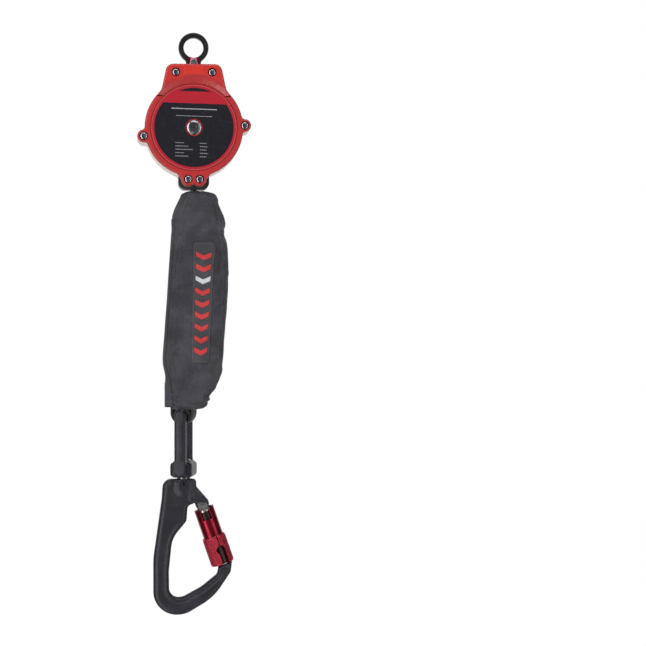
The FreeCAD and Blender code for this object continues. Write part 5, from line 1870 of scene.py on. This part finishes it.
class Wardrobe:
    """One material for each finish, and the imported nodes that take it."""

    def __init__(self) -> None:
        """Make every material."""
        low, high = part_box("label_plate")
        middle = (low + high) / 2
        steel, turned = Grain.ROUND_Y, Grain.ROUND_Z
        finishes = (
            Moulded("lid_red", tone(184, 42, 43), tone(168, 36, 38), wells=wells("cover_screws")),
            # the cap's deep colour is also the painted shade on its ramp
            CapFinish("cap_red", tone(198, 46, 42), tone(180, 44, 44), wells=wells("cap_screws"),
                      hub=(middle.x, middle.z)),
            # painted reflection: the rear cover gets a pale colour that stands in for its glossy red side
            # mirroring the bright surroundings at a grazing angle
            Moulded("shell_painted_reflection", tone(234, 214, 204), tone(214, 190, 180), 0.45),
            PrintedDisc("label_print", tuple(middle)),
            Forged("forged_eye", tone(28, 27, 30), tone(44, 43, 47), 0.4),
            Forged("hook_grey", tone(46, 44, 52), tone(58, 56, 66), 0.3, 0.42, 0.5, 0.4),
            GateFinish("gate_steel", tone(60, 48, 48), tone(196, 194, 192)),
            Forged("bail_grey", tone(44, 43, 51), tone(56, 55, 64), 0.3, 0.42, 0.5, 0.4),
            Anodised("clevis_red", tone(226, 64, 104), tone(178, 34, 66), 0.2),
            Anodised("sleeve_red", tone(140, 27, 45), tone(110, 18, 34)),
            KnurlFinish("knurl_red", tone(188, 44, 62), tone(132, 24, 42), KnurledSleeve()),
            Metal("bright_steel", tone(206, 210, 216), 0.2, steel),
            Metal("polished_steel", tone(164, 166, 172), 0.16, steel, 0.05),
            Metal("bolt_steel", tone(146, 148, 154), 0.2, steel, 0.1),
            # painted shade for the fasteners' sockets
            Metal("socket_shade", tone(58, 56, 58), 0.4),
            Metal("dark_steel", tone(74, 73, 78), 0.34, steel),
            Metal("stud_steel", tone(132, 132, 138), 0.3, turned),
            Metal("zinc_steel", tone(168, 170, 172), 0.32),
            Metal("bronze_bush", tone(176, 138, 84), 0.32, steel),
            Metal("turned_alloy", tone(206, 207, 209), 0.28, steel),
            Metal("blued_spring", tone(96, 100, 116), 0.3),
            Moulded("guide_black", tone(38, 36, 37), tone(52, 49, 51), 0.4, 0.5),
            Cloth("bag_nylon", tone(37, 37, 43), tone(83, 82, 91), 0.0011),
            Cloth("line_webbing", tone(40, 40, 42), tone(74, 73, 76), 0.0011, 0.0003, True),
            Cloth("sewing_thread", tone(66, 64, 70), tone(96, 94, 100), 0.0004),
            Cloth("badge_dark", tone(56, 55, 60), tone(84, 83, 88), 0.0005),
            Cloth("badge_edge", tone(92, 88, 88), tone(128, 124, 120), 0.0004),
            Cloth("badge_red", tone(196, 48, 50), tone(214, 74, 70), 0.0006),
            Cloth("badge_grey", tone(196, 196, 202), tone(222, 222, 226), 0.0006))
        self.made = {finish.name: finish.make() for finish in finishes}

    def dress(self) -> None:
        """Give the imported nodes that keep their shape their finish."""
        for finish, names in (
                ("lid_red", "front_cover"), ("cap_red", "top_cap"), ("shell_painted_reflection", "rear_cover"),
                ("label_print", "label_plate"), ("forged_eye", "anchor_eye"), ("clevis_red", "swivel_clevis"),
                ("gate_steel", "gate"), ("sleeve_red", "upper_sleeve"),
                ("bright_steel", "eye_rivet rear_cap_screws rear_hub_bolt gate_pin gate_plunger"),
                ("stud_steel", "swivel_stud swivel_washer"),
                ("zinc_steel", "swivel_nut swivel_yoke frame_plate_front frame_plate_rear drum_shaft "
                               "ratchet_ring pawl_a pawl_b pawl_pins sleeve_slider"),
                ("bronze_bush", "swivel_bush drum_bushes"), ("turned_alloy", "drum spring_cup"),
                ("blued_spring", "pawl_springs power_spring gate_spring"), ("guide_black", "exit_guide"),
                ("line_webbing", "webbing_roll lifeline_webbing pack_lead absorber_pack")):
            for name in names.split():
                wear(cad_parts[name], self.made[finish])
                LOG.info("dressed %s in %s", name, finish)

    def finish(self, piece: Piece, finish: str, slot: str, body: str = "") -> None:
        """Give a piece that is built here its finish.

        Args:
            piece: The piece.
            finish: Name of its material.
            slot: Slot of its looks; not used.
            body: Body that it rides, if that isn't said yet.
        """
        wear(piece, self.made[finish])
        if body:
            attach(piece, body)
        LOG.info("built %s", piece.name)


@dataclass
class Studio:
    """Wide pale floor under the lowest pose, tall soft panels of light, and the camera."""

    camera_at: Point = (-0.0525, -2.00, -0.2884)
    camera_turn: float = -5.40
    focal: float = 106.0
    floor_z: float = -2.75
    floor_r: float = 16.0
    air_glow: float = 0.08

    def floor(self) -> None:
        """Lay the floor as a disc that glows evenly to the eye and casts no light on the piece."""
        points = [Vector((x, y, self.floor_z)) for x, y in arc(self.floor_r, circle(48))]
        piece = smooth_mesh("studio_floor", points, [tuple(range(48))])
        wear(piece, Graph("studio_white").paint(tone(24, 24, 24), 0.9, Emission_Strength=1.0))
        piece.visible_diffuse = piece.visible_glossy = False

    def panel(self, name: str, at: Point, aim: Point, size: Pair, glow: float) -> None:
        """Hang one soft rectangular light, out of the camera's sight.

        Args:
            name: Name of the light.
            at: Its place.
            aim: The point that it faces.
            size: Width and height.
            glow: Brightness of its face.
        """
        data = bpy.data.lights.new(name, "AREA")
        data.shape, data.size, data.size_y = "RECTANGLE", *size
        data.energy = glow * math.pi * size[0] * size[1]
        light = put(name, data)
        light.location = at
        light.rotation_euler = (Vector(aim) - Vector(at)).to_track_quat("-Z", "Y").to_euler()
        light.visible_camera = False

    def air(self) -> None:
        """Fill the air with a faint glow, and show it white behind the piece."""
        world = bpy.data.worlds.new("studio_air")
        bpy.context.scene.world = world
        world.use_nodes = True
        nodes, links = world.node_tree.nodes, world.node_tree.links
        glow, backdrop = nodes["Background"], nodes.new("ShaderNodeBackground")
        for background, strength in ((glow, self.air_glow), (backdrop, 1.0)):
            background.inputs[0].default_value = (1.0, 1.0, 1.0, 1.0)
            background.inputs[1].default_value = strength
        seen, choice = nodes.new("ShaderNodeLightPath"), nodes.new("ShaderNodeMixShader")
        links.new(choice.outputs[0], nodes["World Output"].inputs[0])
        sources = seen.outputs["Is Camera Ray"], glow.outputs[0], backdrop.outputs[0]
        for source, socket in zip(sources, choice.inputs):
            links.new(source, socket)

    def build(self) -> None:
        """Light the set and aim the camera."""
        self.floor()
        self.air()
        for name, at, aim, size, glow in (
                ("key_left", (-1.05, -1.35, -1.1), (0.0, 0.0, -1.1), (0.40, 4.4), 6.6),
                ("fill_right", (1.15, -1.15, -1.1), (0.0, 0.0, -1.1), (0.32, 4.4), 4.2),
                ("top_soft", (0, -0.6, 1.2), (0.0, 0.0, -0.28), (1.2, 0.6), 2.65),
                ("front_soft", (0.2, -1.6, 1.3), (0.0, 0.0, -0.28), (1.2, 0.5), 3.2),
                ("back_wall", (0.0, 2.6, -1.0), (0.0, 0.0, -1.0), (6.0, 5.0), 1.25),
                ("floor_bounce", (0.0, 0.0, -2.7), (0.0, 0.0, 0.0), (4.0, 4.0), 0.25)):
            self.panel(name, at, aim, size, glow)
        data = bpy.data.cameras.new("camera")
        data.lens, data.sensor_width = self.focal, 36.0
        camera = put("camera", data)
        camera.location = self.camera_at
        camera.rotation_euler = (math.pi / 2, 0.0, math.radians(self.camera_turn))
        bpy.context.scene.camera = camera
        bpy.context.scene.view_settings.view_transform = "Standard"


def main() -> None:
    """Build the set, the finishes and the pieces, and report each piece."""
    logging.basicConfig(level=logging.INFO, format="%(name)s: %(message)s")
    Studio().build()
    looks = Wardrobe()
    looks.dress()
    bag = AbsorberBag()
    skin = bag.skin()
    face = Surface(skin)
    flap, sewn = bag.closure(face), bag.stitch_rows(face)
    trim = bag.badge(face)
    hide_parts("absorber_pouch")
    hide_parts("pouch_flap")
    for piece, finish in ((skin, "bag_nylon"), (flap, "bag_nylon"), (sewn, "sewing_thread")):
        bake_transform(piece)
        looks.finish(piece, finish, "pouch_fabric")
    for piece, finish in zip(trim, ("badge_dark", "badge_red", "badge_grey", "badge_edge")):
        looks.finish(piece, finish, "pouch_fabric", "absorber")
    webbing = Webbing()
    for piece in (webbing.lifeline(), webbing.loop(), webbing.wear_pad()):
        looks.finish(piece, "line_webbing", "lifeline_web")
    looks.finish(ForgedHook().build(), "hook_grey", "hook_alloy", "hook")
    looks.finish(ForgedBail().build(), "bail_grey", "hook_alloy", "bail")
    screw = Fastener(head_r=3.72, head_t=2.0, shank_r=2.0, socket_r=1.6, lobe=0.28, socket_deep=1.9)
    bolt = Fastener(head_r=7.75, head_t=2.6, shank_r=2.5, socket_r=2.3, lobe=0.14, socket_deep=2.2, fall=1.2,
                    groove_r=5.0)
    for kind, name, node, crown in ((screw, "lid_cap_screws", "cap_screws", "polished_steel"),
                                    (screw, "lid_lug_screws", "cover_screws", "polished_steel"),
                                    (bolt, "lid_hub_bolt", "hub_bolt", "bolt_steel")):
        piece = kind.build(name, node)
        # the second material is the painted shade in the sockets
        piece.data.materials.clear()
        for finish in (crown, "socket_shade"):
            piece.data.materials.append(looks.made[finish])
        LOG.info("built %s", piece.name)
    sleeve = KnurledSleeve()
    looks.finish(retaining_clip(sleeve.place()), "polished_steel", "stainless")
    looks.finish(spring_pin(), "dark_steel", "stainless")
    looks.finish(sleeve.build(), "knurl_red", "red_anodised")
    looks.finish(LockSpring().build(sleeve.place()), "blued_spring", "spring_steel")


if __name__ == "__main__":
    main()
